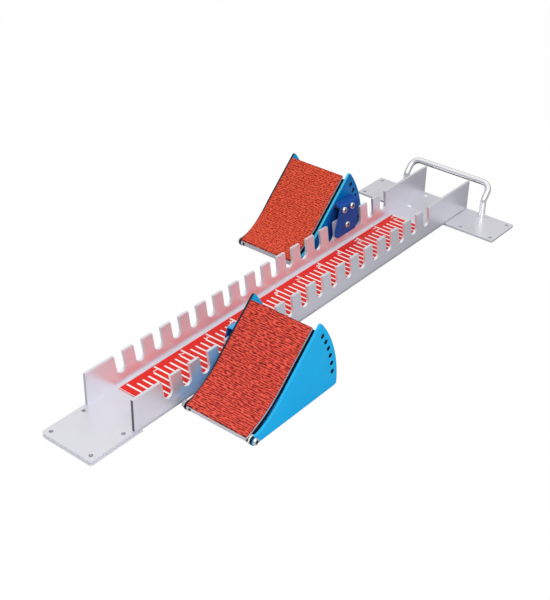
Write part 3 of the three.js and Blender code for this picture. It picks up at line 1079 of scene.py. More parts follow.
class Workshop:
    """Holds the finishes and hands each finished piece to the frame."""

    def __init__(self) -> None:
        """Builds the shared groups and the fastener tree."""
        self.effects = ShaderEffects()
        self.palette = Palette()
        self.fasteners = Fasteners()
        self._made: dict[str, bpy.types.Material] = {}

    def material(self, finish_name: str) -> bpy.types.Material:
        """Gives the material of a finish and builds it on first use.

        Args:
            finish_name: The finish's name in the palette.

        Returns:
            The material.
        """
        if finish_name not in self._made:
            finish = getattr(self.palette, finish_name)
            self._made[finish_name] = finish.material(self.effects, f"{finish.slot}_{finish_name}")
        return self._made[finish_name]

    def paint(self, obj: bpy.types.Object, finish_name: str) -> None:
        """Gives an object one finish."""
        obj.data.materials.clear()
        obj.data.materials.append(self.material(finish_name))

    def hand_in(
        self, obj: bpy.types.Object, finish_name: str, body: str, nodes: Sequence[str] = ()
    ) -> None:
        """Finishes a new piece and fixes it to its body.

        Args:
            obj: The piece.
            finish_name: Its finish.
            body: The body it rides on.
            nodes: The CAD nodes that it stands for.
        """
        self.paint(obj, finish_name)
        getattr(self.palette, finish_name).slot
        if nodes:
            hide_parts(*nodes)
        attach(obj, body)
        log.info("%s: %d faces, rides on %s", obj.name, len(obj.data.polygons), body)

    def keep(self, node: str, finish_name: str) -> None:
        """Finishes a CAD node that is shown as it is."""
        self.paint(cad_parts[node], finish_name)
        log.info("%s: CAD node, %s", node, finish_name)


@dataclass
class Rail:
    """The slotted channel with the plates that it is nailed down by."""

    shop: Workshop
    slot_count: int = 18
    slot_pitch: float = 35 * MM
    slot_width: float = 16 * MM
    slot_depth: float = 32 * MM
    slot_lean: float = 4 * MM
    wall: float = 4 * MM
    first_slot: float = 132 * MM
    wall_lead: float = 58 * MM
    corner: float = 4 * MM
    plate_corner: float = 3 * MM
    nail_hole: float = 6 * MM
    nail_inset: float = 8.5 * MM
    nail_to_wall: float = 11 * MM
    nail_outboard: float = 24 * MM
    edge: float = 0.45 * MM
    edge_steps: int = 2
    edge_angle: float = 50
    slot_steps: int = 24
    cutter_rise_share: float = 1.5
    sawn_from_walls: float = 1.5
    near_sawn_tone: float = 1.0
    far_sawn_tone: float = 0.4
    rivet_shank: float = 0.5 * MM
    rivet_dome: tuple[Point, ...] = ((1, 0.25), (0.93, 0.55), (0.72, 0.85), (0.4, 0.98), (0.1, 1))
    low: Vector = field(init=False)
    high: Vector = field(init=False)

    def __post_init__(self) -> None:
        """Takes the channel's box from the frame."""
        self.low, self.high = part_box("rail_channel")

    @property
    def mouth(self) -> float:
        """The place of the first slot's mouth along the rail."""
        return self.low.x + self.first_slot

    @property
    def wall_front(self) -> float:
        """The place of the walls' front ends along the rail."""
        return self.mouth - self.wall_lead

    def slot_cutter(self) -> bpy.types.Object:
        """Makes the shape that one slot takes out of a wall, at the first slot.

        Returns:
            The cutter.
        """
        half = self.slot_width / 2
        reach = self.slot_depth - half
        tilt = math.degrees(math.atan2(self.slot_lean, reach))
        bottom = (self.mouth + self.slot_lean, self.high.z - reach)
        rim = arc(bottom, half, 180 + tilt, 360 + tilt, self.slot_steps)
        past_top = reach * self.cutter_rise_share
        lean = (-math.sin(math.radians(tilt)) * past_top, math.cos(math.radians(tilt)) * past_top)
        rim += [(u + lean[0], v + lean[1]) for u, v in (rim[-1], rim[0])]
        return plate("cutter", rim, Plane.SIDE, self.low.y - self.wall, self.high.y + self.wall)

    def slotting_tree(self) -> GeometryTree:
        """Builds the tree that cuts the row of slots.

        Returns:
            The tree.
        """
        tree = GeometryTree("row_of_slots", Cutter="Object", Count="Int", Pitch="Float")
        cutters = tree.copies(tree.row(), tree.shape_of("Cutter"))
        cut = tree.add("GeometryNodeMeshBoolean", operation="DIFFERENCE", solver="EXACT")
        tree.finish(tree.result(cut, tree.given["Geometry"], cutters))
        return tree

    def build_wall(self, sign: int, tree: GeometryTree) -> bpy.types.Object:
        """Builds one slotted wall with broken edges.

        Args:
            sign: 1 for the far wall and -1 for the near wall.
            tree: The tree that cuts the slots.

        Returns:
            The wall.
        """
        inside, outside = self.high.y - self.wall, self.high.y
        low, high = (inside, outside) if sign > 0 else (-outside, -inside)
        rim = rounded_rectangle((self.wall_front, self.low.z), (self.high.x, self.high.z))
        cutter = self.slot_cutter()
        made = tree.run(
            plate("wall", rim, Plane.SIDE, low, high),
            "far_wall" if sign > 0 else "near_wall",
            Cutter=cutter,
            Count=self.slot_count,
            Pitch=self.slot_pitch,
            Material=self.shop.material("aluminium"),
        )
        drop(cutter)
        tidy_mesh(made.data)
        return modified(
            made,
            "BEVEL",
            width=self.edge,
            segments=self.edge_steps,
            limit_method="ANGLE",
            angle_limit=math.radians(self.edge_angle),
            harden_normals=False,
        )

    def anchor_nails(self) -> list[Point]:
        """Finds the nail holes of the tongue.

        Returns:
            Their centres.
        """
        side = self.high.y - self.nail_inset
        rows = (self.low.x + self.nail_inset, self.wall_front - self.nail_to_wall)
        return [(x, sign * side) for x in rows for sign in (-1, 1)]

    def sawn_mark(self, face: bpy.types.MeshPolygon) -> float:
        """Marks the walls' sawn front ends for painted shade, the near one more than the far one.

        Args:
            face: A face of the channel.

        Returns:
            The mark.
        """
        behind = face.center.x > self.wall_front + self.edge
        if behind or face.center.z < self.low.z + self.sawn_from_walls * self.wall:
            return 0.0
        return self.near_sawn_tone if face.center.y < 0 else self.far_sawn_tone

    def build(self) -> None:
        """Builds the channel and its plates and hands them in."""
        tree = self.slotting_tree()
        radii = (self.corner, 0, 0, self.corner)
        rim = rounded_rectangle((self.low.x, self.low.y), (self.high.x, self.high.y), radii)
        nails = [round_hole(centre, self.nail_hole) for centre in self.anchor_nails()]
        top = self.low.z + self.wall
        floor = plate("floor", rim, Plane.FLAT, self.low.z, top, nails, self.edge)
        channel = joined("channel", [floor, self.build_wall(1, tree), self.build_wall(-1, tree)])
        # The walls' front ends get painted shade.
        mark_faces(channel.data, self.sawn_mark)
        self.shop.hand_in(channel, "aluminium", "rail", ["rail_channel"])
        low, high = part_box("front_foot_plate")
        self.build_ground_plate("front_foot_plate", low, high, radii, nails)
        self.build_cross_plate()
        self.build_rivets()

    def build_ground_plate(
        self, node: str, low: Vector, high: Vector, radii: Sequence[float], holes: Sequence[Loop]
    ) -> None:
        """Builds one of the plates under the rail.

        Args:
            node: Its CAD node.
            low: The lowest corner of the node's box.
            high: The highest corner of the node's box.
            radii: Its corners' radii.
            holes: The rims of its nail holes.
        """
        rim = rounded_rectangle((low.x, low.y), (high.x, high.y), radii)
        name = node.split("_", 1)[1]
        made = plate(name, rim, Plane.FLAT, low.z, high.z, holes, self.edge)
        self.shop.hand_in(made, "aluminium", "rail", [node])

    def build_cross_plate(self) -> None:
        """Builds the wide plate under the rail's rear end."""
        low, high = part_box("rear_cross_plate")
        end = high.y - self.nail_inset
        inboard = self.high.y + self.nail_outboard
        front, rear = low.x + self.nail_inset, high.x - self.nail_inset
        places = ((front, inboard), (front, end), (rear, end))
        holes = [round_hole((x, sign * y), self.nail_hole) for x, y in places for sign in (-1, 1)]
        self.build_ground_plate("rear_cross_plate", low, high, (self.plate_corner,) * 4, holes)

    def build_rivets(self) -> None:
        """Sets the rivets that hold the cross plate."""
        nodes = [f"cross_plate_rivet_{i + 1}" for i in range(4)]
        low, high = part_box(nodes[0])
        top = self.low.z + self.wall
        radius, rise = (high.x - low.x) / 2, high.z - self.low.z - self.wall
        dome = [Ring(radius * width, height * rise) for width, height in self.rivet_dome]
        rings = [Ring(radius, -self.rivet_shank), *dome]
        head = turned_mesh("rivet_head", rings, closed=False, steps=32)
        places = [(middle_of(n).x, middle_of(n).y, top) for n in nodes]
        rivets = self.shop.fasteners.set_at(
            "cross_plate_rivets", head, places, self.shop.material("bright_steel")
        )
        self.shop.hand_in(rivets, "aluminium", "rail", nodes)


@dataclass
class Scale:
    """The printed scale on the channel's floor."""

    shop: Workshop
    tick_pitch: float = 10.24 * MM
    tick_width: float = 2.7 * MM
    long_every: int = 5
    ink: float = 0.06 * MM
    ground_edge: float = 0.05 * MM
    solid_band: float = 11 * MM
    long_margin: float = 2 * MM
    near_margin: float = 0.6 * MM
    first_tick: float = 12.5 * MM
    number_height: float = 13.5 * MM
    number_shift: float = 4.2 * MM
    border: float = 0.9 * MM

    def tick_tree(self) -> GeometryTree:
        """Builds the tree that prints the ticks.

        Returns:
            The tree.
        """
        tree = GeometryTree(
            "scale_ticks",
            Count="Int",
            Pitch="Float",
            First="Vector",
            Width="Float",
            Ink="Float",
            Short="Float",
            Long="Float",
            Every="Int",
        )
        given = tree.given
        index = tree.add("GeometryNodeInputIndex").outputs[0]
        is_long = tree.maths("LESS_THAN", tree.maths("MODULO", index, given["Every"]), 0.5)
        extra = tree.maths("SUBTRACT", given["Long"], given["Short"])
        length = tree.maths("ADD", given["Short"], tree.maths("MULTIPLY", extra, is_long))
        size = tree.make("ShaderNodeCombineXYZ", X=given["Width"], Y=length, Z=given["Ink"])
        bar = tree.make("GeometryNodeMeshCube", Size=(1.0, 1.0, 1.0))
        shifted = tree.make(
            "GeometryNodeTransform", Geometry=bar.outputs[0], Translation=(0.0, 0.5, 0.5)
        )
        row = tree.row(Start_Location=given["First"])
        tree.finish(tree.copies(row, shifted.outputs[0], Scale=size.outputs[0]))
        return tree

    def build(self) -> None:
        """Builds the strip, its ticks and its numbers and hands them in."""
        low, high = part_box("scale_strip")
        ground_top = high.z - self.ink
        rim = rounded_rectangle((low.x, low.y), (high.x, high.y))
        strip = plate("scale_ground", rim, Plane.FLAT, low.z, ground_top, edge=self.ground_edge)
        self.shop.hand_in(strip, "scale_ground", "rail", ["scale_strip"])
        width = high.y - low.y
        first = Vector((low.x + self.first_tick, low.y + self.near_margin, ground_top))
        count = int((high.x - first.x) / self.tick_pitch) + 1
        ticks = self.tick_tree().run(
            points_object([(0, 0, 0)]),
            "scale_ticks",
            Count=count,
            Pitch=self.tick_pitch,
            First=first,
            Width=self.tick_width,
            Ink=self.ink,
            Short=width - self.solid_band - self.near_margin,
            Long=width - self.long_margin - self.near_margin,
            Every=self.long_every,
            Material=self.shop.material("scale_ink"),
        )
        self.shop.hand_in(ticks, "scale_ink", "rail")
        numbers = [
            self.number(i, first, high) for i in range(self.long_every, count, self.long_every)
        ]
        self.shop.hand_in(joined("scale_numbers", numbers), "scale_ink", "rail")
        corners = (
            ((low.x, low.y), (high.x, low.y + self.border)),
            ((low.x, low.y + self.border), (low.x + self.border, high.y)),
        )
        edges = [
            plate("edge", rounded_rectangle(start, end), Plane.FLAT, ground_top, high.z)
            for start, end in corners
        ]
        self.shop.hand_in(joined("scale_border", edges), "scale_ink", "rail")

    def number(self, index: int, first: Vector, high: Vector) -> bpy.types.Object:
        """Makes the plain number of one long tick.

        Args:
            index: The tick's number.
            first: The place of the first tick.
            high: The strip's highest corner.

        Returns:
            The number as a flat solid.
        """
        data = bpy.data.curves.new("number", "FONT")
        data.body = str(index // self.long_every)
        data.size = self.number_height / MM
        data.extrude = self.ink / 2 / MM
        data.align_x = "CENTER"
        data.align_y = "CENTER"
        solid = baked(link("number", data), "number")
        x = first.x + index * self.tick_pitch - self.number_shift - self.tick_width / 2
        y = high.y - self.long_margin - self.number_height / 2
        turn = Matrix.Rotation(math.radians(-90), 4, "Z")
        place = Matrix.Translation((x, y, high.z - self.ink / 2))
        solid.data.transform(place @ turn @ Matrix.Scale(MM, 4))
        tidy_mesh(solid.data)
        return solid


@dataclass
class Handle:
    """The bent bar that the blocks are carried by."""

    shop: Workshop
    diameter: float = 10 * MM
    knee: float = 29 * MM
    corner_radius: float = 15 * MM
    knee_radius: float = 9 * MM
    steps: int = 14
    round_steps: int = 8
    crease: float = 60
    shade_from: float = 0.1
    shade_span: float = 0.25

    def bend(self, before: Vector, corner: Vector, after: Vector, radius: float) -> list[Vector]:
        """Rounds one corner of the bar.

        Args:
            before: A point ahead of the corner.
            corner: The corner.
            after: A point behind the corner.
            radius: The bend's radius.

        Returns:
            The points along the bend.
        """
        enter, leave = (before - corner).normalized(), (after - corner).normalized()
        half = enter.angle(leave) / 2
        reach = radius / math.tan(half)
        centre = corner + (enter + leave).normalized() * (radius / math.sin(half))
        start = (corner + enter * reach - centre).normalized()
        end = (corner + leave * reach - centre).normalized()
        return [centre + start.slerp(end, i / self.steps) * radius for i in range(self.steps + 1)]

    def underside_mark(self, face: bpy.types.MeshPolygon) -> float:
        """Marks a face of the bar for painted shade the more, the more it looks down."""
        return min(max(-self.shade_from - face.normal.z, 0) / self.shade_span, 1)

    def build(self) -> None:
        """Builds the bar and hands it in."""
        low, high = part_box("carrying_handle")
        half = self.diameter / 2
        leg_x, bar_x = low.x + half, high.x - half
        side, top = high.y - half, high.z - half
        knee_z = low.z + self.knee
        corners = [
            Vector((leg_x, side, low.z)),
            Vector((leg_x, side, knee_z)),
            Vector((bar_x, side, top)),
            Vector((bar_x, -side, top)),
            Vector((leg_x, -side, knee_z)),
            Vector((leg_x, -side, low.z)),
        ]
        radii = [self.knee_radius, self.corner_radius, self.corner_radius, self.knee_radius]
        path = [corners[0]]
        for i, radius in enumerate(radii):
            path += self.bend(corners[i], corners[i + 1], corners[i + 2], radius)
        path.append(corners[-1])
        data = bpy.data.curves.new("bar", "CURVE")
        data.dimensions = "3D"
        data.bevel_depth = half
        data.bevel_resolution = self.round_steps
        data.use_fill_caps = True
        add_line(data, path, cyclic=False)
        solid = baked(link("bar", data), "handle_bar")
        tidy_mesh(solid.data, self.crease)
        # The bar's underside gets painted shade.
        mark_faces(solid.data, self.underside_mark)
        self.shop.hand_in(solid, "bar", "rail", ["carrying_handle"])
        for i in (1, 2):
            self.shop.keep(f"handle_screw_{i}", "bright_steel")


@dataclass
class Pad:
    """The tilting foot rest: rubber, backing and the carrier below it.

    The relief is a row of waves along the face. Coarse noise makes them waver and fine noise
    breaks them up. The sum of both is cut between two levels, which gives grooves and crests.
    """

    shop: Workshop
    side: Side
    rubber: float = 4 * MM
    backing: float = 2.5 * MM
    backing_edge: float = 0.3 * MM
    backing_steps: int = 12
    seat: float = 0.3 * MM
    overhang: float = 10 * MM
    rise: float = 10.5 * MM
    toe_angle: float = 17
    slope: float = 43.5
    toe_radius: float = 155 * MM
    straight: float = 88.5 * MM
    relief_depth: float = 1.0 * MM
    row_pitch: float = 2.7 * MM
    wave_share: float = 0.13
    waver: float = 11.0
    waver_scale: float = 0.34
    waver_detail: float = 0.7
    groove_width: float = 1.7 * MM
    groove_length: float = 6.0 * MM
    far_groove_share: float = 1.7
    groove_level: float = 0.37
    crest_level: float = 0.55
    near_seed: float = 1.0
    far_seed: float = 5.0
    crease: float = 70
    rim_round: float = 1.6 * MM
    rim_fade: float = 2.4 * MM
    rim_shade: float = 0.25
    cell: float = 0.58 * MM
    pivot: Vector = field(init=False)

    def __post_init__(self) -> None:
        """Finds the pivot in the frame."""
        self.pivot = middle_of(f"{self.side.prefix}_pivot_bolt")

    @property
    def centre(self) -> Point:
        """The centre of the toe's arc."""
        turn = math.radians(self.toe_angle)
        return (
            self.pivot.x - self.overhang - self.toe_radius * math.sin(turn),
            self.pivot.z + self.rise + self.toe_radius * math.cos(turn),
        )

    @property
    def arc_length(self) -> float:
        """The length of the pad's face along the toe's arc."""
        return self.toe_radius * math.radians(self.slope - self.toe_angle)

    @property
    def length(self) -> float:
        """The length of the pad's face from toe to top."""
        return self.arc_length + self.straight

    def face(self, distance: float, depth: float) -> Point:
        """Finds a point of the pad in its side view.

        Args:
            distance: How far it lies from the toe, along the face.
            depth: How far it lies below the face.

        Returns:
            Its X and Z.
        """
        if distance < self.arc_length:
            degrees = self.toe_angle + (self.slope - self.toe_angle) * distance / self.arc_length
            return polar(self.centre, self.toe_radius + depth, degrees - 90)
        start = polar(self.centre, self.toe_radius + depth, self.slope - 90)
        return polar(start, distance - self.arc_length, self.slope)

    def rubber_mesh(self) -> bpy.types.Mesh:
        """Builds the rubber as a closed slab with a fine grid on its face.

        Returns:
            The mesh, with the place of each point along and across the face as its attribute.
        """
        node = f"{self.side.prefix}_rubber_pad"
        low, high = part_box(node)
        width = high.y - low.y
        rows, columns = round(self.length / self.cell), round(width / self.cell)
        bm = bmesh.new()
        spot = bm.verts.layers.float_vector.new("spot")
        inner = bm.verts.layers.float.new("inner")
        shade = bm.verts.layers.float.new("shade")

        def point(i: int, j: int, depth: float) -> bmesh.types.BMVert:
            """Adds one point of the slab.

            Args:
                i: Its row along the face.
                j: Its column across the face.
                depth: How far it lies below the face.

            Returns:
                The point.
            """
            along, over = self.length * i / rows, width * j / columns
            x, z = self.face(along, depth)
            vertex = bm.verts.new((x, low.y + over, z))
            vertex[spot] = (along, over, depth)
            reach = min(along, self.length - along, over, width - over)
            vertex[inner] = 0.0 if depth > 0 else min(reach / self.rim_round, 1.0)
            rim_reach = min(self.length - along, width - over)
            vertex[shade] = min(self.rim_shade + rim_reach / self.rim_fade, 1.0)
            return vertex

        top = [[point(i, j, 0) for j in range(columns + 1)] for i in range(rows + 1)]
        for i in range(rows):
            for j in range(columns):
                bm.faces.new((top[i][j], top[i + 1][j], top[i + 1][j + 1], top[i][j + 1]))
        rim = [(i, 0) for i in range(rows)] + [(rows, j) for j in range(columns)]
        rim += [(i, columns) for i in range(rows, 0, -1)] + [(0, j) for j in range(columns, 0, -1)]
        depths = (self.rubber / 2, self.rubber)
        below = {(i, j): [top[i][j], *(point(i, j, depth) for depth in depths)] for i, j in rim}
        for a, b in zip(rim, rim[1:] + rim[:1], strict=True):
            for k in range(len(depths)):
                bm.faces.new((below[a][k], below[b][k], below[b][k + 1], below[a][k + 1]))
        for i in range(rows):
            strip = [below[(i, 0)][-1], below[(i + 1, 0)][-1]]
            if i == rows - 1:
                strip += [below[(rows, j)][-1] for j in range(1, columns)]
            strip += [below[(i + 1, columns)][-1], below[(i, columns)][-1]]
            if i == 0:
                strip += [below[(0, j)][-1] for j in range(columns - 1, 0, -1)]
            bm.faces.new(strip)
        bmesh.ops.recalc_face_normals(bm, faces=bm.faces)
        return mesh_from(bm, "rubber")

    @staticmethod
    def noise(
        tree: GeometryTree, spot: bpy.types.NodeSocket, scale: float, detail: float
    ) -> bpy.types.NodeSocket:
        """Adds noise that is drawn out across the pad.

        Args:
            tree: The tree.
            spot: Each point's place on the face.
            scale: How fine it is beside the tree's own scales.
            detail: How much finer noise it carries.

        Returns:
            Its value.
        """
        given = tree.given
        scales = tree.make("ShaderNodeCombineXYZ", X=given["Along"], Y=given["Across"], Z=0.0)
        drawn = tree.stretched(spot, scales.outputs[0])
        noise = tree.add("ShaderNodeTexNoise", noise_dimensions="4D")
        tree.feed(noise, Vector=drawn, W=given["Seed"], Scale=scale, Detail=detail)
        return noise.outputs["Fac"]

    def relief_tree(self) -> GeometryTree:
        """Builds the tree that presses the wavy relief into the rubber's face.

        Returns:
            The tree.
        """
        tree = GeometryTree(
            "track_relief",
            Depth="Float",
            Rows="Float",
            Waver="Float",
            Along="Float",
            Across="Float",
            Seed="Float",
        )
        given, maths = tree.given, tree.maths
        spot = tree.attribute("spot", "FLOAT_VECTOR")
        place = tree.parts(spot)
        waver = self.noise(tree, spot, self.waver_scale, self.waver_detail)
        breaks = self.noise(tree, spot, 1.0, 1.0)
        turns = maths("MULTIPLY", place["X"], given["Rows"])
        phase = maths("ADD", turns, maths("MULTIPLY", waver, given["Waver"]))
        wave = maths("MULTIPLY", maths("SINE", phase), self.wave_share)
        spread = tree.make(
            "ShaderNodeMapRange",
            Value=maths("ADD", wave, breaks),
            From_Min=self.groove_level,
            From_Max=self.crest_level,
        )
        height = spread.outputs[0]
        # The relief value that colours the rubber fades to the groove tone towards the top end and
        # the far edge: painted shade.
        kept = tree.make(
            "GeometryNodeStoreNamedAttribute",
            Geometry=given["Geometry"],
            Name="relief",
            Value=maths("MULTIPLY", height, tree.attribute("shade")),
        )
        full = maths("MULTIPLY", tree.attribute("inner"), height)
        sink = maths("MULTIPLY", maths("SUBTRACT", full, 1.0), given["Depth"])
        is_face = tree.add("FunctionNodeCompare", data_type="FLOAT", operation="LESS_THAN")
        tree.feed(is_face, A=place["Z"], B=HAIR)
        normal = tree.add("GeometryNodeInputNormal").outputs[0]
        push = tree.add("ShaderNodeVectorMath", operation="SCALE")
        tree.feed(push, Vector=normal, Scale=sink)
        moved = tree.make(
            "GeometryNodeSetPosition",
            Geometry=kept.outputs["Geometry"],
            Selection=is_face.outputs["Result"],
            Offset=push.outputs[0],
        )
        tree.finish(moved.outputs[0])
        return tree

    def build(self) -> None:
        """Builds the pad's layers and hands them in."""
        prefix, body = self.side.prefix, f"{self.side.prefix}_pad"
        near = self.side is Side.NEAR
        # The far pad's rubber is painted brighter, as it is lit more.
        finish = "rubber" if near else "far_rubber"
        rubber = self.relief_tree().run(
            link("slab", self.rubber_mesh()),
            f"{prefix}_rubber",
            Depth=self.relief_depth,
            Rows=math.tau / self.row_pitch,
            Waver=self.waver,
            Along=1 / self.groove_width,
            Across=1 / (self.groove_length if near else self.groove_length / self.far_groove_share),
            Seed=self.near_seed if near else self.far_seed,
            Material=self.shop.material(finish),
        )
        creased(rubber.data, self.crease)
        self.shop.hand_in(rubber, finish, body, [f"{prefix}_rubber_pad"])
        self.build_backing(body)
        # The ribs' near-black paint is partly their own colour and partly painted shade under the
        # pad.
        for part in ("pad_inner_rib", "pad_outer_rib"):
            self.shop.keep(f"{prefix}_{part}", "dark")

    def build_backing(self, body: str) -> None:
        """Builds the light sheet that carries the rubber.

        Args:
            body: The body it rides on.
        """
        node = f"{self.side.prefix}_pad_backing"
        low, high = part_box(node)
        top, steps = self.rubber + self.seat, self.backing_steps
        marks = [self.arc_length * i / steps for i in range(steps + 1)] + [self.length]
        upper = [self.face(min(d, self.length), top) for d in marks]
        lower = [self.face(min(d, self.length), top + self.backing) for d in marks]
        name, rim = f"{self.side.prefix}_backing", lower + upper[::-1]
        backing = plate(name, rim, Plane.SIDE, low.y, high.y, edge=self.backing_edge)
        self.shop.hand_in(backing, "aluminium", body, [node])


@dataclass(frozen=True)
class ButtonScrew:
    """A button-head screw with a hexagonal socket. Its head's seat is at the origin."""

    radius: float
    shank: float
    length: float
    rise: float
    crown_share: float = 0.6
    key_share: float = 0.54
    key_lead: float = 1.16
    key_depth: float = 2 * MM
    brim_share: float = 0.2
    dome_step: int = 15
    tip: float = 0.5 * MM
    lip: float = 0.25 * MM

    def mesh(self) -> bpy.types.Mesh:
        """Makes the screw.

        Returns:
            The mesh, with its head towards +Z.
        """
        crown, key = self.radius * self.crown_share, self.radius * self.key_share
        dome = []
        for turn in map(math.radians, range(0, 91, self.dome_step)):
            height = self.brim_share + (1 - self.brim_share) * math.sin(turn)
            dome.append(Ring(crown + (self.radius - crown) * math.cos(turn), self.rise * height))
        rings = [
            Ring(self.shank - self.tip, -self.length),
            Ring(self.shank, -self.length + self.tip),
            Ring(self.shank, 0),
            Ring(self.radius, 0),
            *dome,
            Ring(key * self.key_lead, self.rise),
            Ring(key, self.rise - self.lip, 6),
            Ring(key, self.rise - self.key_depth, 6),
        ]
        screw = turned_mesh("button_screw", rings, closed=False)

        def in_key(face: bpy.types.MeshPolygon) -> bool:
            """Tells whether a face lies in the socket."""
            return face.center.z < self.rise and face.center.xy.length < key

        # The socket gets painted shade.
        mark_faces(screw, lambda face: -1 if in_key(face) else 0)
        return screw


@dataclass
class PedalFrame:
    """The side plates of a pedal with its pivot, its bracket and its support rod."""

    shop: Workshop
    side: Side
    eye: float = 6.5 * MM
    radius: float = 167.9 * MM
    apex: float = 40.4
    apex_round: float = 4 * MM
    heel_round: float = 5 * MM
    toe_bend: float = 29 * MM
    toe_bend_angle: float = 16
    edge_break: float = 78 * MM
    edge_break_angle: float = 36.4
    hole_circle: float = 158 * MM
    hole_count: int = 6
    hole_step: float = 5.3
    first_hole: float = 33.6
    hole: float = 6.6 * MM
    edge: float = 0.5 * MM
    corner_steps: int = 6
    back_steps: int = 44
    toe_steps: int = 20
    cheek_level: float = 0.8
    screw_hole: float = 5.6 * MM
    screw_shank: float = 2.5 * MM
    bolt_shank: float = 3 * MM
    head_rise: float = 3.2 * MM
    nut_chamfer: float = 0.5 * MM
    spacer_chamfer: float = 0.5 * MM
    washer_chamfer: float = 0.3 * MM
    tube_chamfer: float = 0.5 * MM
    rod_chamfer: float = 0.8 * MM
    pivot: Vector = field(init=False)

    def __post_init__(self) -> None:
        """Finds the pivot in the frame."""
        self.pivot = middle_of(f"{self.side.prefix}_pivot_bolt")

    def name(self, part: str) -> str:
        """Gives the full name of one of this pedal's parts."""
        return f"{self.side.prefix}_{part}"

    def plate_rim(self, bottom: float) -> Loop:
        """Draws a side plate: a sector about the pivot.

        Args:
            bottom: The height of its bottom edge.

        Returns:
            The rim.
        """
        hub = (self.pivot.x, self.pivot.z)
        heel_angle = math.degrees(math.asin((bottom - hub[1]) / self.radius))
        heel = polar(hub, self.radius, heel_angle)
        heel_turn = heel_angle + math.degrees(self.heel_round / self.radius)
        apex_turn = self.apex - math.degrees(self.apex_round / self.radius)
        apex = polar(hub, self.radius, self.apex)
        edge_break = polar(hub, self.edge_break, self.edge_break_angle)
        share = self.apex_round / math.dist(apex, edge_break)
        after_apex = tuple(a + (b - a) * share for a, b in zip(apex, edge_break, strict=True))
        rim: Loop = [(heel[0] - self.heel_round, bottom)]
        rim += curve_to(rim[0], heel, polar(hub, self.radius, heel_turn), self.corner_steps)
        rim += arc(hub, self.radius, heel_turn, apex_turn, self.back_steps)[1:]
        rim += curve_to(rim[-1], apex, after_apex, self.corner_steps)
        rim.append(edge_break)
        toe_pull = polar(hub, self.toe_bend, self.toe_bend_angle)
        rim += curve_to(edge_break, toe_pull, (hub[0], hub[1] + self.eye), self.toe_steps)
        rim += arc(hub, self.eye, 90, 270, self.toe_steps)[1:]
        return rim

    def hole_centres(self) -> list[Point]:
        """Finds the centres of the rod's holes and of the pivot's hole.

        Returns:
            The centres.
        """
        hub = (self.pivot.x, self.pivot.z)
        angles = [self.first_hole - i * self.hole_step for i in range(self.hole_count)]
        return [*[polar(hub, self.hole_circle, angle) for angle in angles], hub]

    def edge_mark(self, face: bpy.types.MeshPolygon) -> float:
        """Tells a side plate's outer edge, which gets its finish's painted highlight or painted
        shade, from its cheeks and from its holes, which get painted shade.

        Args:
            face: One of its faces.

        Returns:
            1 on the edge, -1 in a hole and 0 on a cheek.
        """
        if abs(face.normal.y) > self.cheek_level:
            return 0
        place = (face.center.x, face.center.z)
        nearest = min(math.dist(place, centre) for centre in self.hole_centres())
        return -1 if nearest < self.hole else 1

    def build(self) -> None:
        """Builds the pedal's frame and hands it in."""
        body = self.name("pedal")
        far = self.side is Side.FAR
        # The plates share one paint: the far inner one is painted darker as shade, and each plate's
        # edges get a painted highlight or painted shade.
        finishes = ("deep_blue", "dark_edged_blue") if far else ("dark_edged_blue", "blue")
        for part, finish in zip(("inner_side_plate", "outer_side_plate"), finishes, strict=True):
            low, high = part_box(self.name(part))
            holes = [round_hole(centre, self.hole) for centre in self.hole_centres()]
            if part == "inner_side_plate":
                centres = [middle_of(self.name(f"bracket_screw_{i}")) for i in (1, 2, 3)]
                holes += [round_hole((c.x, c.z), self.screw_hole) for c in centres]
            name, rim = self.name(part[:5] + "_cheek"), self.plate_rim(low.z)
            made = plate(name, rim, Plane.SIDE, low.y, high.y, holes, self.edge)
            # Each plate's edge gets its finish's painted highlight or painted shade, and its holes
            # get painted shade.
            mark_faces(made.data, self.edge_mark)
            self.shop.hand_in(made, finish, body, [self.name(part)])
        self.shop.keep(self.name("base_plate"), "blue")
        # The near bracket is painted darker as shade, with a painted highlight along its top.
        self.shop.keep(self.name("slot_bracket"), "navy" if far else "near_navy")
        self.shop.keep(self.name("slot_key"), "black_steel")
        for i in (1, 2):
            spacer, washer = f"bracket_spacer_{i}", f"pivot_washer_{i}"
            self.round_piece(spacer, "black_steel", body, self.screw_hole, self.spacer_chamfer)
            self.round_piece(washer, "nylon", body, self.hole, self.washer_chamfer)
        pad, rod = self.name("pad"), self.name("rod")
        self.round_piece("pad_pivot_tube", "aluminium", pad, self.hole, self.tube_chamfer)
        self.round_piece("support_rod", "black_steel", rod, 0, self.rod_chamfer)
        self.build_nut(body)
        self.build_screws(body)

    def hand_in_turned(
        self,
        part: str,
        name: str,
        box: tuple[Vector, Vector],
        rings: Sequence[Ring],
        finish: str,
        body: str,
        sleeve: bool = True,
    ) -> None:
        """Turns a piece in the place of its CAD node and hands it in.

        Args:
            part: The part that it stands for.
            name: Its own name.
            box: The lowest and the highest corner of that part's box.
            rings: Its rings, from the near side on.
            finish: Its finish.
            body: The body it rides on.
            sleeve: Whether it has a bore.
        """
        middle = (box[0] + box[1]) / 2
        place = Matrix.Translation((middle.x, box[0].y, middle.z))
        mesh = turned_mesh(self.name(name), rings, sleeve)
        mesh.transform(place @ Axis.TO_FAR_SIDE.value)
        self.shop.hand_in(link(self.name(name), mesh), finish, body, [self.name(part)])

    def round_piece(self, part: str, finish: str, body: str, bore: float, chamfer: float) -> None:
        """Builds one of the pedal's plain round pieces.

        Args:
            part: The part.
            finish: Its finish.
            body: The body it rides on.
            bore: The diameter of its bore, or 0.
            chamfer: How far its edges are broken.
        """
        low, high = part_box(self.name(part))
        radius, length = (high.z - low.z) / 2, high.y - low.y
        rings = [
            Ring(radius - chamfer, 0),
            Ring(radius, chamfer),
            Ring(radius, length - chamfer),
            Ring(radius - chamfer, length),
        ]
        if bore:
            rings += bore_rings(bore / 2, length, chamfer / 2)
        name, box = part + "_turned", (low, high)
        self.hand_in_turned(part, name, box, rings, finish, body, sleeve=bool(bore))

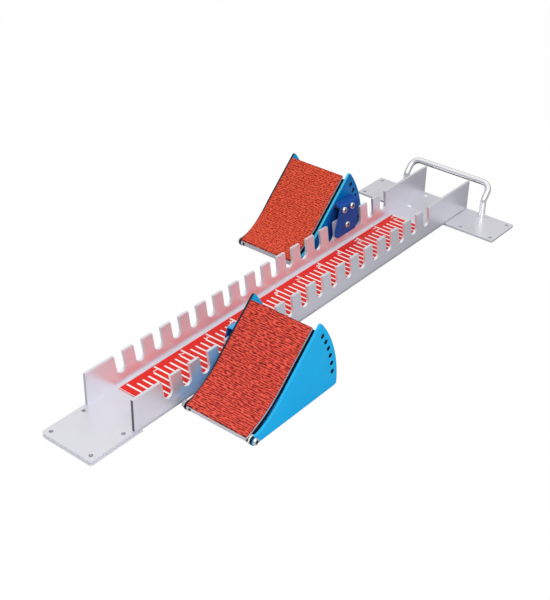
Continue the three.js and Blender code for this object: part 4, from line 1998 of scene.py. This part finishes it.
    def build_nut(self, body: str) -> None:
        """Builds the pivot's six-sided nut.

        Args:
            body: The body it rides on.
        """
        low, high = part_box(self.name("pivot_nut"))
        flat, length, chamfer = (high.x - low.x) / 2, high.y - low.y, self.nut_chamfer
        rings = [
            Ring(flat, 0),
            Ring(flat, chamfer, 6),
            Ring(flat, length - chamfer, 6),
            Ring(flat, length),
            *bore_rings(self.hole / 2, length, chamfer),
        ]
        box = (low, high)
        self.hand_in_turned("pivot_nut", "nut_turned", box, rings, "bright_steel", body)

    def build_screws(self, body: str) -> None:
        """Builds the bracket's three screws and the pivot's bolt.

        Args:
            body: The body they ride on.
        """
        far, rise = self.side is Side.FAR, self.head_rise
        inward, outward = Axis.TO_FAR_SIDE, Axis.TO_NEAR_SIDE
        if far:
            inward, outward = outward, inward
        nodes = [self.name(f"bracket_screw_{i}") for i in (1, 2, 3)]
        low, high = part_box(nodes[0])
        length = high.y - low.y - rise
        screw = ButtonScrew((high.x - low.x) / 2, self.screw_shank, length, rise).mesh()
        screw.transform(inward.value)
        seat = low.y + rise if far else high.y - rise
        places = [(middle_of(n).x, seat, middle_of(n).z) for n in nodes]
        screws = self.shop.fasteners.set_at(
            self.name("bracket_screws"), screw, places, self.shop.material("bright_steel")
        )
        self.shop.hand_in(screws, "bright_steel", body, nodes)
        low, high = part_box(self.name("pivot_bolt"))
        length = high.y - low.y - rise
        bolt = ButtonScrew((high.x - low.x) / 2, self.bolt_shank, length, rise).mesh()
        seat = high.y - rise if far else low.y + rise
        bolt.transform(Matrix.Translation((self.pivot.x, seat, self.pivot.z)) @ outward.value)
        turned = link(self.name("bolt_turned"), bolt)
        self.shop.hand_in(turned, "bright_steel", body, [self.name("pivot_bolt")])


@dataclass(frozen=True)
class Lamp:
    """A soft square lamp that points at the blocks."""

    name: str
    place: tuple[float, float, float]
    width: float
    watts: float

    def hang(self) -> None:
        """Adds the lamp to the scene."""
        data = bpy.data.lights.new(self.name, "AREA")
        data.size = self.width
        data.energy = self.watts
        aim = (Vector((0, 0, 0)) - Vector(self.place)).to_track_quat("-Z", "Y")
        turn = aim.to_matrix().to_4x4()
        link(self.name, data).matrix_world = Matrix.Translation(self.place) @ turn


@dataclass
class Studio:
    """The pale floor, the soft light and the camera at the photograph's angle."""

    camera_place: tuple[float, float, float] = (-1.1342, -0.8716, 0.9160)
    azimuth: float = -51.53
    elevation: float = 32.47
    roll: float = 1.22
    focal_pixels: float = 1158.1
    image_height: int = 600
    film: float = 36.0
    nearest: float = 0.05
    floor_size: float = 14.0
    bright_end: float = -0.6
    dim_end: float = 0.45
    bright_floor: Colour = (0.66, 0.66, 0.68, 1)
    dim_floor: Colour = (0.3, 0.3, 0.32, 1)
    seen_floor: Colour = (0.84, 0.84, 0.85, 1)
    floor_glow: float = 0.97
    floor_roughness: float = 0.9
    sky_low: float = 0.1
    sky_rise: float = 0.96
    key_light: Lamp = Lamp("key_light", (-1.0, -1.0, 1.3), 1.2, 16.0)
    fill_light: Lamp = Lamp("fill_light", (1.4, -1.0, 1.7), 1.8, 0.8)

    def build(self) -> None:
        """Builds the stage, the lights and the camera."""
        scene = bpy.context.scene
        scene.view_settings.view_transform = "Standard"
        self.build_floor()
        self.build_world(scene)
        self.key_light.hang()
        self.fill_light.hang()
        self.build_camera(scene)

    def build_floor(self) -> None:
        """Builds the floor, which is white to the camera but keeps the shadow.

        What it throws back at the blocks fades from the rail's front to its rear.
        """
        half = self.floor_size / 2
        mesh = bpy.data.meshes.new("floor")
        corners = [(-half, -half, 0), (half, -half, 0), (half, half, 0), (-half, half, 0)]
        mesh.from_pydata(corners, [], [(0, 1, 2, 3)])
        floor = link("studio_floor", mesh)
        material = bpy.data.materials.new("studio_floor")
        material.use_nodes = True
        nodes, tree = material.node_tree.nodes, NodeTree(material.node_tree)
        to_camera = tree.add("ShaderNodeLightPath").outputs["Is Camera Ray"]
        along = tree.parts(tree.place())["X"]
        fade = tree.make(
            "ShaderNodeMapRange", Value=along, From_Min=self.bright_end, From_Max=self.dim_end
        )
        bounce = tree.blend(fade.outputs[0], self.bright_floor, self.dim_floor)
        shader = tree.feed(
            nodes["Principled BSDF"],
            Base_Color=tree.blend(to_camera, bounce, self.seen_floor),
            Roughness=self.floor_roughness,
            Specular_IOR_Level=0.0,
        )
        glow = tree.make("ShaderNodeEmission", Strength=1.0)
        share = tree.maths("MULTIPLY", to_camera, self.floor_glow)
        mix = tree.add("ShaderNodeMixShader")
        mixed = tree.result(mix, share, shader.outputs[0], glow.outputs[0])
        tree.join(mixed, nodes["Material Output"].inputs["Surface"])
        mesh.materials.append(material)

    def build_world(self, scene: bpy.types.Scene) -> None:
        """Lights the scene softly, most from above, and shows white behind it.

        Args:
            scene: The scene.
        """
        world = bpy.data.worlds.new("studio")
        scene.world = world
        world.use_nodes = True
        nodes, tree = world.node_tree.nodes, NodeTree(world.node_tree)
        heights = tree.parts(tree.add("ShaderNodeTexCoord").outputs["Generated"])
        above = tree.maths("MAXIMUM", heights["Z"], 0.0)
        strength = tree.maths("ADD", tree.maths("MULTIPLY", above, self.sky_rise), self.sky_low)
        sky = tree.feed(nodes["Background"], Color=WHITE, Strength=strength)
        seen = tree.make("ShaderNodeBackground", Color=WHITE, Strength=1.0)
        to_camera = tree.add("ShaderNodeLightPath").outputs["Is Camera Ray"]
        mix = tree.add("ShaderNodeMixShader")
        mixed = tree.result(mix, to_camera, sky.outputs[0], seen.outputs[0])
        tree.join(mixed, nodes["World Output"].inputs["Surface"])

    def build_camera(self, scene: bpy.types.Scene) -> None:
        """Sets the camera where the photograph was taken from.

        Args:
            scene: The scene.
        """
        data = bpy.data.cameras.new("camera")
        data.sensor_fit = "VERTICAL"
        data.sensor_height = self.film
        data.lens = self.focal_pixels * self.film / self.image_height
        data.clip_start = self.nearest
        camera = link("camera", data)
        turn = Matrix.Rotation(math.radians(self.azimuth), 4, "Z")
        tilt = Matrix.Rotation(math.radians(90 - self.elevation), 4, "X")
        lean = Matrix.Rotation(math.radians(self.roll), 4, "Z")
        camera.matrix_world = Matrix.Translation(self.camera_place) @ turn @ tilt @ lean
        scene.camera = camera


def main() -> None:
    """Builds the blocks and reports each piece."""
    logging.basicConfig(level=logging.INFO, format="%(name)s: %(message)s")
    shop = Workshop()
    Studio().build()
    Rail(shop).build()
    Scale(shop).build()
    Handle(shop).build()
    for side in Side:
        PedalFrame(shop, side).build()
        Pad(shop, side).build()


if __name__ == "__main__":
    main()
